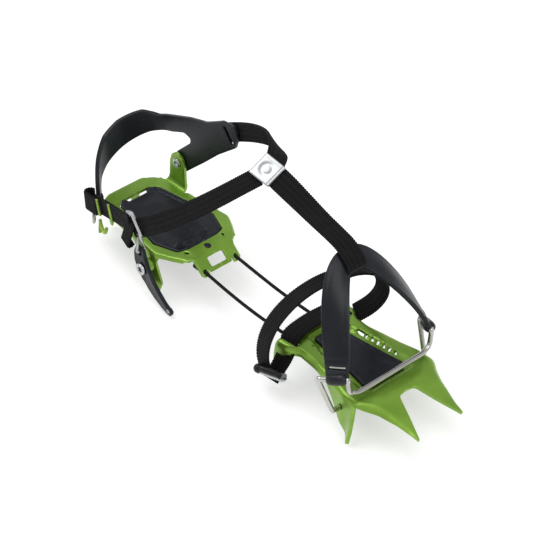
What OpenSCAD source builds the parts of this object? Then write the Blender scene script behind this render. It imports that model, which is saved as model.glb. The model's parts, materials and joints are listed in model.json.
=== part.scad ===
// Strap-on crampon: front and heel plates of stamped aluminium sheet, a wire toe bail with a moulded
// harness, a moulded heel harness, webbing straps, buckles and two link cords.
// +X points to the toe, +Y to the wearer's left, +Z up. The boot sole rests on z = 0.

/* [Sheet] */
// Thickness of the stamped aluminium sheet
sheet_t = 2.8; // [2:0.2:3.4]
// Height of the boot sole above the spike tips
stand_h = 35; // [32:1:40]
// Sideways distance of the down-turned edges beyond the plates
edge_out = 3; // [2:0.5:4]

/* [Front plate] */
// Forward reach of the two front points
point_reach = 82; // [74:1:88]
// Half the distance between the tips of the front points
point_half = 20.6; // [18:0.2:24]
// Drop of the front point tips below the boot sole
point_drop = 11; // [8:1:16]

/* [Toe bail] */
// Diameter of the bail wire
wire_d = 3.8; // [3:0.1:4.2]
// Half the length of the bail's front bar
bar_half = 29.5; // [26:0.5:31]

/* [Straps] */
// Width of the webbing
web_w = 15; // [12:0.5:16]
// Thickness of the webbing
web_t = 1.6; // [1:0.1:1.8]
// Diameter of the link cords
cord_d = 2.6; // [2:0.1:3]
// Diameter of the pull cord
pull_d = 2.6; // [2:0.1:3]

/* [Harness] */
// Thickness of the moulded harness parts
harness_t = 3; // [2.4:0.2:3.4]

/* [Hidden] */
$fn = 48;

ground = -stand_h;
band_drop = 2.4;
front_root = 48.7;
point_hinge = 44;
point_tilt = atan(point_drop / (point_reach - point_hinge));
bail_axis = [21.7, 39, -12.4];
ear_y = 31.6;
harness_y = ear_y + sheet_t + 0.4;
ear_pivot = [-234, harness_y, 20];
lever_pivot = [-184, -43, -12];
lever_eye = [-186, -43, 3];
buckle_mid = [-196.5, -42, 20.5];
slider_mid = [-93, -3, 108];
instep_buckle_mid = [-40, -45, -17];
tongue_root = -156;
tongue_tilt = 40;
cord_y = 14.7;
cord_z = -9;
front_cord_z = -11.5;
rivet_at = [-161.5, 0];
lever_hole_r = 2.1;
ear_hole_r = 2.3;
cord_gap = 0.8;
wire_gap = 0.6;
flange_drop = 6;
tack_xs = [0.22, 0.48];

// Outline of the front plate from the rear centre to the front, one side
front_half = [
    [-50, 0], [-50, 20], [-47, 31], [-38, 31], [-30, 25], [-18, 25.5], [-7, 28], [10, 31],
    [23, 34], [34, 34], [44, 27], [front_root, 6.7], [front_root, 0]
];
// Opening in the front plate for its anti-balling plate, one side
front_open = [[-34, 0], [-34, 11], [-16, 12.5], [8, 16], [26, 19], [30, 15], [30, 0]];
// Outline of the heel plate, one side
heel_half = [
    [-260, 0], [-260, 16], [-251.5, 27], [-243, 30.5], [-226, 31.6], [-209, 33], [-180, 36.5],
    [-157, 24.5], [tongue_root, 18], [tongue_root, 0]
];
// Opening in the heel plate, one side
heel_open = [
    [-246, 0], [-246, 13.5], [-242, 18.5], [-189, 29], [-170, 22], [-167, 14], [-167, 0]
];

// Routes of the soft parts, each point followed by its outward normal
toe_route = [
    [[-7, 0, 78], [0.75, 0, 0.66]], [[-10.6, 0, 82.3], [0.66, 0, 0.75]],
    [[-17, 0, 86.6], [0.5, 0, 0.87]], [[-27, 0, 89.4], [0.2, 0, 1]], [[-42, 0, 92], [0.2, 0, 1]],
    [[-61, 0, 96], [0.2, -0.15, 1]], [[-76, 0, 102], [0.23, -0.42, 0.87]],
    [[-82, 0, 104], [0.23, -0.42, 0.87]]
];
near_route = along_curve(
    [-100.4, -15, 101.8], [-113, -28, 88], [-155, -42, 42], [-191, -38, 21.5],
    [0.2, -0.6, 0.8], [-0.41, -0.87, -0.29], 8
);
far_route = along_curve(
    [-189, 41, 68], [-172, 42, 78], [-111, 29, 115], [-91, 9.6, 113.4],
    [0.1, 1, 0], [0.3, -0.35, 0.87], 8, 3
);
crossing_route = [
    [[-41, -28.5, -2], [0, -0.9, 0.4]], [[-43.5, -25.5, 2], [0, -0.3, 1]], [[-45, -14, 3.5], [0, 0, 1]],
    [[-45.5, 0, 4], [0, 0, 1]], [[-45, 14, 3.5], [0, 0, 1]], [[-43.5, 25.5, 2], [0, 0.3, 1]],
    [[-41, 28.5, -2], [0, 0.9, 0.4]]
];
hoop_crown = [-22, -2, 58];
hoop_route = concat(
    along_curve(
        [-49, -46, -8], [-62, -46, 18], [-22, -24, 59], hoop_crown,
        [-0.6, -0.8, -0.1], [-0.1, 0, 1], 7
    ),
    after_first(along_curve(
        hoop_crown, [-14, 24, 66], [-4, 52, 30], [-34, 37, -1],
        [-0.1, 0, 1], [0.1, 1, -0.2], 7
    ))
);
band_route = along_curve(
    [-258, -29, -4], [-245, -34, 4], [-225, -38, 12], [-207, -41, 15],
    [-0.6, -0.8, 0], [-0.3, -0.95, -0.1], 5
);
harness_route = [
    [[-243, 36.4, 50.5], [0, 1, 0], 15], [[-253, 36, 47], [-0.2, 1, 0], 16],
    [[-264, 31, 44], [-0.6, 0.8, 0], 21], [[-272, 22, 40.5], [-0.85, 0.5, 0], 25],
    [[-276, 10, 35], [-1, 0.1, 0], 26], [[-275.5, -3, 27], [-0.95, -0.3, 0], 23],
    [[-271, -14, 17], [-0.8, -0.6, 0], 17], [[-266.5, -22, 7], [-0.7, -0.7, 0], 11],
    [[-264, -26, -4], [-0.7, -0.7, 0], 8]
];
// Toe harness arm: it leaves the wire towards arm_lead and comes level into the crown
arm_foot = [24, 43, 18];
arm_lead = [16, 37, 47];
arm_level = [-16, 16, 80];
arm_crown = [-12.5, 0, 80];
arm_foot_out = [0.3, 0.87, 0.38];
arm_crown_out = [0.66, 0, 0.75];
arm_foot_w = 15.5;
arm_crown_w = 13;
arm_bulge = 2.5;
arm_steps = 7;
arm_route = [
    for (i = [0:arm_steps]) let (f = i / arm_steps) [
        bezier(arm_foot, arm_lead, arm_level, arm_crown, f),
        unit(lerp(arm_foot_out, arm_crown_out, f)),
        lerp(arm_foot_w, arm_crown_w, f) + arm_bulge * sin(180 * f)
    ]
];
lip_rod = [-8.2, 7, 75.8];
// Heel lever: a bent blade from its head, past the pivot, to its tip
lever_head = [-186, -43, 6];
lever_lead = [-190, -43, -10];
lever_bend = [-174, -43, -26];
lever_tip = [-149.5, -46.4, -30.8];
lever_tip_hole = [-150.8, -44.9, -30.4];
lever_head_w = 8;
lever_tip_w = 5;
lever_bulge = 6.3;
lever_steps = 6;
lever_route = [
    for (i = [0:lever_steps]) let (f = i / lever_steps) [
        bezier(lever_head, lever_lead, lever_bend, lever_tip, f),
        [0, -1, 0],
        lerp(lever_head_w, lever_tip_w, f) + lever_bulge * sin(180 * pow(f, 0.8))
    ]
];
// Routes of the cords
link_points = [
    [-152.8, cord_y, cord_z], [-146, cord_y, cord_z], [-138, 14.8, -9.6], [-130, 14.9, -10.4],
    [-118, 15, -11.4], [-106, 15, -12.2], [-94, 15, -12.6], [-82, 15, -12.6], [-72, 14.9, -12.3],
    [-62, 14.8, -11.9], [-51, cord_y, front_cord_z], [-44, cord_y, front_cord_z]
];
pull_points = [
    [-253, -29.5, -26], [-251.5, -30.5, -20], [-249.5, -31.5, -14], [-247, -33.5, -9.5],
    [-243.5, -36, -8], [-240.5, -37, -10.5], [-237, -38, -12.5], [-233.5, -39, -10], [-231.5, -39.5, -5]
];
// Ends of the straight stretch of wire that the toe harness grips
grip_rear = [10.7, 49, 12.6];
grip_front = [31, 40, 20.5];
wire_route = [
    [bail_axis[0], bail_axis[1] - 3.5, bail_axis[2]], [bail_axis[0], bail_axis[1] + 3, bail_axis[2]],
    [20.8, 44.6, -10], [12, 48.2, 9.5], lerp(grip_rear, grip_front, 0.04),
    lerp(grip_rear, grip_front, 0.14), lerp(grip_rear, grip_front, 0.9),
    [31, 39.6, 18.5], [31.5, 38.5, 10], [32.2, 35, 6], [32.8, bar_half, 4.8], [33, 22, 4.8],
    [33, 8, 4.8]
];

function unit(v) = v / norm(v);
function lerp(a, b, f) = a + (b - a) * f;
// Point at fraction f of the curve from a to d that leaves towards b and arrives from c
function bezier(a, b, c, d, f) =
    lerp(lerp(lerp(a, b, f), lerp(b, c, f), f), lerp(lerp(b, c, f), lerp(c, d, f), f), f);
// Strap rows along that curve, its outward normal turning from n_a to n_d
function along_curve(a, b, c, d, n_a, n_d, steps, late = 1) = [
    for (i = [0:steps]) let (f = i / steps)
        [bezier(a, b, c, d, f), unit(lerp(n_a, n_d, pow(f, late)))]
];
function after_first(rows) = [for (i = [1:len(rows) - 1]) rows[i]];
function flip_y(p) = [p[0], -p[1], p[2]];
function mirrored(points) = [for (p = points) [p[0], -p[1]]];
function reversed(list) = [for (i = [len(list) - 1:-1:0]) list[i]];
// Point of a smooth curve through p[i] at fraction f between p[i] and p[i + 1]
function spline_at(p, i, f) =
    let (a = p[max(i - 1, 0)], b = p[i], c = p[i + 1], d = p[min(i + 2, len(p) - 1)])
    0.5 * ((2 * b) + (c - a) * f + (2 * a - 5 * b + 4 * c - d) * f * f
        + (3 * b - a - 3 * c + d) * f * f * f);
function smooth(p, steps) = [
    for (i = [0:len(p) - 2], k = [0:steps - 1]) spline_at(p, i, k / steps),
    p[len(p) - 1]
];
function tangent(p, i) = unit(p[min(i + 1, len(p) - 1)] - p[max(i - 1, 0)]);

// Closed skin over rings of equal size
module skin(rings) {
    n = len(rings[0]);
    m = len(rings);
    sides = [
        for (i = [0:m - 2], k = [0:n - 1], half = [0, 1])
            let (a = i * n + k, b = i * n + (k + 1) % n)
            half == 0 ? [a, b, b + n] : [a, b + n, a + n]
    ];
    first = [for (k = [n - 1:-1:0]) k];
    last = [for (k = [0:n - 1]) (m - 1) * n + k];
    polyhedron([for (r = rings, p = r) p], concat(sides, [first, last]), convexity = 8);
}

// Flat strip of width w and thickness t along a route of points with outward normals
module strip(route, w, t, steps = 3) {
    pts = smooth([for (r = route) r[0]], steps);
    nrm = smooth([for (r = route) unit(r[1])], steps);
    wid = smooth([for (r = route) is_undef(r[2]) ? w : r[2]], steps);
    rings = [
        for (i = [0:len(pts) - 1])
            let (
                tan = tangent(pts, i),
                side = unit(cross(tan, nrm[i])),
                up = cross(side, tan),
                a = side * wid[i] / 2,
                b = up * t / 2
            )
            [pts[i] + a + b, pts[i] - a + b, pts[i] - a - b, pts[i] + a - b]
    ];
    skin(rings);
}

// Round cord of diameter d along a list of points
module cord(points, d, steps = 2, sides = 8) {
    pts = smooth(points, steps);
    rings = [
        for (i = [0:len(pts) - 1])
            let (
                tan = tangent(pts, i),
                side = unit(cross(tan, [1, 0.1, 0.3])),
                up = cross(side, tan)
            )
            [
                for (k = [0:sides - 1])
                    let (a = 360 * k / sides) pts[i] + (side * cos(a) + up * sin(a)) * d / 2
            ]
    ];
    skin(rings);
}

// Straight round rod from a to b
module rod(a, b, r) {
    v = b - a;
    translate(a)
        rotate([0, acos(v[2] / norm(v)), atan2(v[1], v[0])])
            cylinder(r = r, h = norm(v));
}

module both_sides() {
    children();
    mirror([0, 1, 0]) children();
}

// Horizontal sheet: a half outline and its mirror image
module sheet_plan(half) {
    polygon(concat(half, reversed(mirrored(half))));
}

// Upright sheet in the XZ plane, its outer face at y
module side_plate(outline, y, t = sheet_t) {
    translate([0, y, 0])
        rotate([90, 0, 0])
            linear_extrude(t) polygon(outline);
}

// Down-turned edge that follows part of a half outline
module edge_flange(half, from, to, drop) {
    outer = [for (i = [from:to]) [half[i][0], half[i][1] + edge_out]];
    inner = [for (i = [from:to]) [half[i][0], half[i][1] - 0.4]];
    translate([0, 0, -drop])
        linear_extrude(drop - 0.8) polygon(concat(outer, reversed(inner)));
}

module front_point() {
    local = [
        [-14, 8], [front_root - point_hinge, 6.7],
        [(point_reach - point_hinge) / cos(point_tilt), point_half],
        [21, 22.5], [7, 25.5], [-2, 29], [-9, 34], [-14, 30]
    ];
    difference() {
        translate([point_hinge, 0, -0.4])
            rotate([0, point_tilt, 0])
                translate([0, 0, -sheet_t])
                    linear_extrude(sheet_t) polygon(local);
        cube([point_hinge + 10, 60, 10]);
    }
}

module front_frame() {
    side_spike = [
        [4, -4.6], [35, -4.6], [36.5, -8], [37.5, -28], [36, ground], [22, -26], [13, -17.5], [5, -9]
    ];
    rear_spike = [
        [-50, -1.2], [-31, -1.2], [-35, -6.5], [-43, -7.5], [-44.5, -18], [-47, ground],
        [-50.5, -20], [-53, -8]
    ];
    rear_flange = [[-50, -1], [-47.4, -1], [-47.4, -15], [-50, -15]];
    color("YellowGreen") difference() {
        union() {
            difference() {
                translate([0, 0, -sheet_t]) linear_extrude(sheet_t) sheet_plan(front_half);
                translate([0, 0, -sheet_t - 1])
                    linear_extrude(sheet_t + 2) recess_plan();
            }
            translate([0, 0, -sheet_t - band_drop]) linear_extrude(sheet_t) difference() {
                recess_plan(0.6);
                sheet_plan(front_open);
            }
            translate([0, 20, 0])
                rotate([90, 0, 0]) linear_extrude(40) polygon(rear_flange);
            both_sides() {
                edge_flange(front_half, 2, 9, flange_drop);
                side_plate(side_spike, 38.2 + sheet_t / 2);
                side_plate(rear_spike, 35 + sheet_t / 2);
                front_point();
            }
        }
        both_sides() {
            translate([-49, 26.2, -sheet_t - 1]) cube([16.4, 4.4, sheet_t + 2]);
            translate([bail_axis[0], 45, bail_axis[2]])
                rotate([90, 0, 0]) cylinder(d = wire_d + wire_gap, h = 12);
            translate([-54, cord_y, front_cord_z])
                rotate([0, 90, 0]) cylinder(d = cord_d + cord_gap, h = 10);
            for (k = [0:9])
                translate([-29 + 5.2 * k, row_half(-29 + 5.2 * k), -sheet_t - band_drop - 1])
                    rotate([0, 0, 60 * (k % 2)]) cylinder(r = 1.7, h = sheet_t + 2, $fn = 3);
        }
    }
}

// Half distance of the hole row from the centre line
function row_half(x) = x < -16 ? 15.6 + (x + 34) * 0.09 : 17.2 + (x + 16) * 0.15;

// Recessed band around the opening of the front plate
module recess_plan(grow = 0) {
    g = 5.5 + grow;
    sheet_plan([
        [-37, 0], [-37, 13 + grow], [-16, 13.5 + g], [8, 17 + g], [26, 19 + g],
        [33.5 + grow, 17 + grow], [33.5 + grow, 0]
    ]);
}

module front_pad() {
    inner = [for (p = front_open) [p[0] < 0 ? p[0] + 0.4 : p[0] - 0.4, max(p[1] - 0.4, 0)]];
    color("DimGray") union() {
        translate([0, 0, -9]) linear_extrude(9) sheet_plan(inner);
        translate([0, 0, -10]) linear_extrude(10 - sheet_t - band_drop - 0.3) sheet_plan([
            [-36, 0], [-36, 9], [-16, 13], [24, 19], [33, 16], [33, 0]
        ]);
    }
}

module pad_studs() {
    color("Silver") both_sides()
        translate([27.5, 21.6, -band_drop + 0.05]) difference() {
            cylinder(r = 2.6, h = 0.9);
            translate([0, 0, -1]) cylinder(r = 1.3, h = 3);
        }
}

module toe_bail() {
    color("Silver")
        cord(concat(wire_route, [for (p = reversed(wire_route)) flip_y(p)]), wire_d, 2, 10);
}

module toe_harness() {
    far_half = [for (i = [0:len(arm_route) - 2]) arm_route[i]];
    near_half = [for (r = reversed(arm_route)) [flip_y(r[0]), flip_y(r[1]), r[2]]];
    grip_a = lerp(grip_rear, grip_front, 0.3);
    grip_b = lerp(grip_rear, grip_front, 0.96);
    color("DimGray") difference() {
        union() {
            strip(concat(far_half, near_half), 16, harness_t + 0.6, 2);
            both_sides() rod(grip_a, grip_b, 4.4);
            rod(flip_y(lip_rod), lip_rod, 2);
        }
        both_sides() rod(
            lerp(grip_rear, grip_front, -0.1),
            lerp(grip_rear, grip_front, 1.1),
            wire_d / 2 + 0.05
        );
    }
}

module toe_strap() {
    color("Black") strip(toe_route, web_w + 0.5, web_t, 4);
}

module instep_strap() {
    color("Black") strip(crossing_route, web_w, web_t, 3);
}

module instep_hoop() {
    color("Black") strip(hoop_route, web_w, web_t, 2);
}

// Ladder-lock frame standing in the XZ plane, its long way along Z
module ladder(w, l, t, bar) {
    difference() {
        translate([-w / 2, -t / 2, -l / 2]) cube([w, t, l]);
        for (s = [-1, 1])
            translate([bar - w / 2, -t, s * l / 4 - (l / 2 - 1.5 * bar) / 2])
                cube([w - 2 * bar, 2 * t, l / 2 - 1.5 * bar]);
    }
}

module at_instep_buckle() {
    translate(instep_buckle_mid) rotate([47, 4.6, 24.5]) children();
}

module instep_buckle() {
    color("DimGray") at_instep_buckle() ladder(20, 19, 3, 2.6);
}

module buckle_bar() {
    color("Silver") at_instep_buckle()
        translate([-8, -2.7, 6.5]) rotate([0, 90, 0]) cylinder(r = 1, h = 16);
}

module link_cord(side) {
    cord([for (p = link_points) [p[0], side * p[1], p[2]]], cord_d, 2);
}

module link_cord_near() {
    color("Black") link_cord(-1);
}

module link_cord_far() {
    color("Black") link_cord(1);
}

module cord_ferrules_front() {
    color("DimGray") both_sides() rod([-47.2, cord_y, front_cord_z], [-41, cord_y, front_cord_z], 2.6);
}

module cord_ferrules_heel() {
    color("DimGray") both_sides() rod([-159, cord_y, cord_z], [-153.2, cord_y, cord_z], 2.2);
}

module tongue() {
    length = 17;
    translate([tongue_root, 0, 0])
        rotate([0, tongue_tilt, 0])
            translate([0, 0, -sheet_t]) {
                difference() {
                    translate([-3, -18.5, 0]) cube([length + 3, 37, sheet_t]);
                    translate([4, -7.4, -1]) cube([8, 14.8, sheet_t + 2]);
                    translate([length - 3, -11.6, -1]) cube([4, 1.8, sheet_t + 2]);
                    translate([length - 3, 9.8, -1]) cube([4, 1.8, sheet_t + 2]);
                }
            }
}

module heel_frame() {
    front_spike = [
        [-205, -1.2], [-177, -1.2], [-178, -8], [-172, -26], [-174.5, ground], [-181, -26],
        [-190, -14], [-203, -8]
    ];
    ear = [
        [-244.5, -sheet_t], [-226.5, -sheet_t], [-225.5, 8], [-225.7, 20], [-228, 26], [-234, 29],
        [-240, 26], [-242.3, 20], [-242.5, 8]
    ];
    rear_spike = [[4, -1], [20, -1], [18, -9], [12.5, ground], [7.5, -20], [4, -9]];
    color("YellowGreen") difference() {
        union() {
            difference() {
                translate([0, 0, -sheet_t]) linear_extrude(sheet_t) sheet_plan(heel_half);
                translate([0, 0, -sheet_t - 1])
                    linear_extrude(sheet_t + 2) sheet_plan(heel_open);
            }
            tongue();
            side_plate(ear, ear_y + sheet_t);
            translate([-244, 29, -sheet_t]) cube([17, ear_y - 28, sheet_t]);
            both_sides() {
                edge_flange(heel_half, 5, 7, flange_drop);
                side_plate(front_spike, 37.2 + sheet_t / 2);
                translate([-260, 0, 0])
                    rotate([90, 0, 90]) linear_extrude(sheet_t) polygon(rear_spike);
            }
            translate([lever_pivot[0], -33, lever_pivot[2]])
                rotate([90, 0, 0]) cylinder(r = 5.5, h = 8.2);
        }
        translate([ear_pivot[0], ear_y + sheet_t + 1, ear_pivot[2]])
            rotate([90, 0, 0]) cylinder(r = ear_hole_r, h = sheet_t + 2);
        translate([lever_pivot[0], -32, lever_pivot[2]])
            rotate([90, 0, 0]) cylinder(r = lever_hole_r, h = 12);
        translate([rivet_at[0], 0, -sheet_t - 1]) cylinder(r = 1.9, h = sheet_t + 2);
        both_sides() translate([tongue_root - 2, cord_y, cord_z])
            rotate([0, 90, 0]) cylinder(d = cord_d + cord_gap, h = 20);
    }
}

module heel_pad() {
    inner = [for (p = heel_open) [p[0] < -200 ? p[0] + 0.4 : p[0] - 0.4, max(p[1] - 0.4, 0)]];
    color("DimGray") difference() {
        union() {
            translate([0, 0, -7]) linear_extrude(7.6) sheet_plan(inner);
            translate([0, 0, -7.5]) linear_extrude(7.5 - sheet_t - 0.3) sheet_plan([
                [-250, 0], [-250, 13], [-244, 21], [-208, 28.5], [-189, 31], [-166, 24],
                [-158.5, 9], [-158.5, 0]
            ]);
            translate([-170, -17, -1]) cube([2.4, 30, 3.4]);
        }
        translate([-247, -10, -8]) cube([3, 20, 12]);
        translate([-240, 15, -1]) cube([50, 2.4, 4]);
    }
}

module pad_rivet() {
    color("Silver") union() {
        translate([rivet_at[0], 0, -4.3]) cylinder(r = 1.85, h = 4.3);
        translate([rivet_at[0], 0, 0]) cylinder(r = 3, h = 0.8);
    }
}

module ear_rivet() {
    color("Silver") translate([ear_pivot[0], 0, ear_pivot[2]]) rotate([-90, 0, 0]) {
        translate([0, 0, ear_y - 1.2]) cylinder(r = 4, h = 1.2);
        translate([0, 0, ear_y - 0.2]) cylinder(r = 2.25, h = 4.6 + harness_t);
        translate([0, 0, harness_y + harness_t + 0.3]) cylinder(r = 4.2, h = 1.2);
    }
}

module heel_harness() {
    arm = [
        [-243, 20], [-240.5, 13.5], [-234, 11], [-227, 14], [-206, 34], [-190, 50], [-171, 67],
        [-169.5, 71], [-170, 81], [-173, 84], [-186, 83], [-205, 72], [-222, 66.5], [-243, 58],
        [-243, 43], [-229, 49.5], [-222, 48.5], [-221.5, 43], [-236, 29]
    ];
    color("DimGray") difference() {
        union() {
            translate([0, harness_y + harness_t, 0])
                rotate([90, 0, 0]) linear_extrude(harness_t) polygon(arm);
            strip(harness_route, 15, harness_t, 2);
        }
        translate([ear_pivot[0], harness_y - 1, ear_pivot[2]])
            rotate([-90, 0, 0]) cylinder(r = 2.35, h = harness_t + 2);
        translate([-179, harness_y - 1, 71]) rotate([0, -41, 0])
            translate([-2.5, 0, -8.3]) cube([5, harness_t + 2, 16.6]);
    }
}

module harness_keeper() {
    color("Silver") translate([-184.5, harness_y + harness_t + 0.6, 67]) rotate([0, -41, 0])
        translate([0, 0, -9]) cylinder(r = 0.9, h = 18);
}

module tail_webbing() {
    color("Black") union() {
        strip(band_route, web_w, web_t, 3);
        translate([-262.5, -27.8, -4]) rotate([0, 0, -45]) difference() {
            translate([-5.5, -4, -7]) cube([11, 8, 15]);
            translate([-4.4, -2.4, 0]) cube([8.8, 4.8, 9]);
        }
    }
}

module tail_ring() {
    color("Silver") translate([-259.5, -29.5, -15.5]) rotate([0, 0, -45]) rotate([90, 0, 0])
        rotate_extrude() translate([3.6, 0]) circle(r = 1.1);
}

module bar_tacks() {
    color("GreenYellow") for (f = tack_xs) {
        a = spline_at([for (r = band_route) r[0]], 0, f);
        b = spline_at([for (r = band_route) r[0]], 1, f + 0.2);
        p = f < 0.3 ? a : b;
        translate([p[0] - 0.35, p[1] - 0.95, p[2]]) rotate([0, 0, -20])
            translate([-1, -0.7, -6.5]) cube([2, 0.5, 13]);
    }
}

module pull_cord() {
    color("GreenYellow") cord(pull_points, pull_d, 3);
}

module lever_rivet() {
    color("Gainsboro") translate([lever_pivot[0], 0, lever_pivot[2]]) rotate([90, 0, 0]) {
        translate([0, 0, 33.4]) cylinder(r = 2, h = 12.4);
        translate([0, 0, 45]) cylinder(r = 4.6, h = 1.2);
    }
}

module heel_lever() {
    color("DimGray") difference() {
        strip(lever_route, 9, 3, 3);
        translate([lever_pivot[0], -40, lever_pivot[2]])
            rotate([90, 0, 0]) cylinder(r = 2.15, h = 6);
        translate([lever_eye[0], -40, lever_eye[2]])
            rotate([90, 0, 0]) cylinder(r = 1.9, h = 6);
        translate([lever_tip_hole[0], -44, lever_tip_hole[2]])
            rotate([90, 0, 0]) cylinder(r = 1.2, h = 5);
    }
}

module lever_eyelet() {
    color("Silver") translate(lever_tip_hole) rotate([90, 0, 0]) difference() {
        cylinder(r = 1.15, h = 3.4);
        translate([0, 0, -1]) cylinder(r = 0.6, h = 6);
    }
}

module ankle_buckle() {
    pin_in = [lever_eye[0], -39.6, lever_eye[2]];
    pin_out = [lever_eye[0], -46.4, lever_eye[2]];
    color("Silver") union() {
        translate(buckle_mid) rotate([0, -35.6, 0]) rotate([0, 0, -30]) ladder(20, 28, 2.4, 2.6);
        rod(pin_in, pin_out, 1.2);
        translate(pin_in) sphere(r = 1.2);
        translate(pin_out) sphere(r = 1.2);
        rod(pin_in, [-190, -40.2, 9.6], 1.2);
        rod(pin_out, [-185.5, -44, 12], 1.2);
    }
}

module ankle_strap_near() {
    color("Black") strip(near_route, web_w, web_t, 2);
}

module ankle_strap_far() {
    color("Black") strip(far_route, web_w, web_t, 2);
}

module strap_slider() {
    color("Silver") translate(slider_mid)
        rotate([25.5, 0, 0]) rotate([0, 15, 0]) difference() {
            translate([-9.7, -9.5, -2.6]) cube([19.4, 19, 5.6]);
            translate([-8.2, -10.5, -1.4]) cube([16.4, 21, 3.2]);
        }
}

front_frame();
front_pad();
pad_studs();
toe_bail();
toe_harness();
toe_strap();
instep_strap();
instep_hoop();
instep_buckle();
buckle_bar();
link_cord_near();
link_cord_far();
cord_ferrules_front();
cord_ferrules_heel();
heel_frame();
heel_pad();
pad_rivet();
ear_rivet();
heel_harness();
harness_keeper();
tail_webbing();
tail_ring();
bar_tacks();
pull_cord();
lever_rivet();
heel_lever();
lever_eyelet();
ankle_buckle();
ankle_strap_near();
ankle_strap_far();
strap_slider();
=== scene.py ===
import json
import math

import bpy
import numpy as np
from mathutils import Matrix, Vector, geometry


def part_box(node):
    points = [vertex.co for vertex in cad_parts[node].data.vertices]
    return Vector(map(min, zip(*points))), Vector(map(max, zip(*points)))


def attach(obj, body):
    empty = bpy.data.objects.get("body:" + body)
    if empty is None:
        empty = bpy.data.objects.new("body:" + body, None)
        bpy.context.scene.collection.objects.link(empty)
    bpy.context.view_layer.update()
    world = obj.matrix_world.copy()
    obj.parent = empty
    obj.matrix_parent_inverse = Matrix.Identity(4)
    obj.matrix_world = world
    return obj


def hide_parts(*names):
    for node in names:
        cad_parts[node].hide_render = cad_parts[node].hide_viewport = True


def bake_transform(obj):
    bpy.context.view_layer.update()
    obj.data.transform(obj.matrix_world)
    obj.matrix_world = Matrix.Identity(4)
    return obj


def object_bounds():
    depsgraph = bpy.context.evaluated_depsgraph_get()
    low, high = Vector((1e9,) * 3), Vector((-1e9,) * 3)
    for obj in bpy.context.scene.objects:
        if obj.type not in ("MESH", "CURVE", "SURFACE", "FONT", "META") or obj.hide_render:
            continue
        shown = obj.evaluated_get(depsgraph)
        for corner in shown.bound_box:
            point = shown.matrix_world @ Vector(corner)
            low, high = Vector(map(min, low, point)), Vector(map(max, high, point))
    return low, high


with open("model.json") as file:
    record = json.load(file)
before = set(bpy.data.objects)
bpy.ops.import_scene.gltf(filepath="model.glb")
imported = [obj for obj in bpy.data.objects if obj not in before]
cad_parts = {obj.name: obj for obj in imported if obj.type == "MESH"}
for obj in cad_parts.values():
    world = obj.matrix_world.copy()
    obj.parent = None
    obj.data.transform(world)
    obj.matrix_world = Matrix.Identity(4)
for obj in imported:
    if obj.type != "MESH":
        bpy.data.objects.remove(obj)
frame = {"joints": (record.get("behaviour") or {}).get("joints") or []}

MM = 0.001
CAD_BOX = [list(corner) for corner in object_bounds()]
SHEET = 2.8
WEB_W, WEB_T = 15.0, 1.6
TAU = 2 * math.pi


# ---------------------------------------------------------------- numbers from the frame, in mm
def node_box(node):
    low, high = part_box(node)
    return np.array(low) / MM, np.array(high) / MM


def joint_point(name):
    for joint in frame["joints"]:
        if joint["name"] == name:
            return np.array(joint["pos_m"]) / MM
    raise KeyError(name)


POINT_TIP = node_box("front_frame")[1][0]
SLIDER = sum(node_box("strap_slider")) / 2
EAR_PIVOT = joint_point("harness_pivot")
LEVER_PIVOT = joint_point("lever_swing")
BAIL_PIVOT = joint_point("bail_swing")
WIRE_R = 1.9

CAMERA_ANGLES = (47.6, 39.2, 0.8)  # azimuth, elevation and roll, in degrees
CAMERA_TARGET = (-120.4, 30.5, -19.3)
CAMERA_DISTANCE_M = 1.6371
CAMERA_LENS = 144.65
SENSOR_W = 36


# ---------------------------------------------------------------- camera
def make_camera():
    azimuth, elevation, roll = (math.radians(a) for a in CAMERA_ANGLES)
    back = Vector((math.sin(azimuth) * math.cos(elevation),
                   -math.cos(azimuth) * math.cos(elevation), math.sin(elevation)))
    right = Vector((math.cos(azimuth), math.sin(azimuth), 0))
    up = back.cross(right)
    right, up = (math.cos(roll) * right + math.sin(roll) * up,
                 math.cos(roll) * up - math.sin(roll) * right)
    target = Vector(CAMERA_TARGET) * MM
    data = bpy.data.cameras.new("camera")
    data.sensor_width = SENSOR_W
    data.lens = CAMERA_LENS
    data.clip_end = 20
    camera = bpy.data.objects.new("camera", data)
    turn = Matrix((right, up, back)).transposed().to_4x4()
    camera.matrix_world = Matrix.Translation(target + back * CAMERA_DISTANCE_M) @ turn
    bpy.context.scene.collection.objects.link(camera)
    bpy.context.scene.camera = camera


make_camera()


# ---------------------------------------------------------------- materials
def new_material(name):
    mat = bpy.data.materials.new(name)
    mat.use_nodes = True
    tree = mat.node_tree
    return mat, tree, tree.nodes["Principled BSDF"]


def node(tree, kind, **values):
    made = tree.nodes.new(kind)
    for key, value in values.items():
        if key in made.inputs:
            made.inputs[key].default_value = value
        else:
            setattr(made, key, value)
    return made


def scaled_coords(tree, source, scale):
    coords = tree.nodes.new("ShaderNodeTexCoord")
    mapping = tree.nodes.new("ShaderNodeMapping")
    mapping.inputs["Scale"].default_value = scale
    tree.links.new(coords.outputs[source], mapping.inputs["Vector"])
    return mapping.outputs["Vector"]


def noise(tree, vector, scale, detail=3.0):
    made = node(tree, "ShaderNodeTexNoise", Scale=scale, Detail=detail)
    tree.links.new(vector, made.inputs["Vector"])
    return made.outputs["Fac"]


def mapped(tree, value, low, high, to_low, to_high):
    made = node(tree, "ShaderNodeMapRange")
    made.inputs["From Min"].default_value = low
    made.inputs["From Max"].default_value = high
    made.inputs["To Min"].default_value = to_low
    made.inputs["To Max"].default_value = to_high
    tree.links.new(value, made.inputs["Value"])
    return made.outputs["Result"]


def bump(tree, shader, height, strength, distance):
    made = node(tree, "ShaderNodeBump", Strength=strength, Distance=distance)
    tree.links.new(height, made.inputs["Height"])
    tree.links.new(made.outputs["Normal"], shader.inputs["Normal"])
    return made


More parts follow.
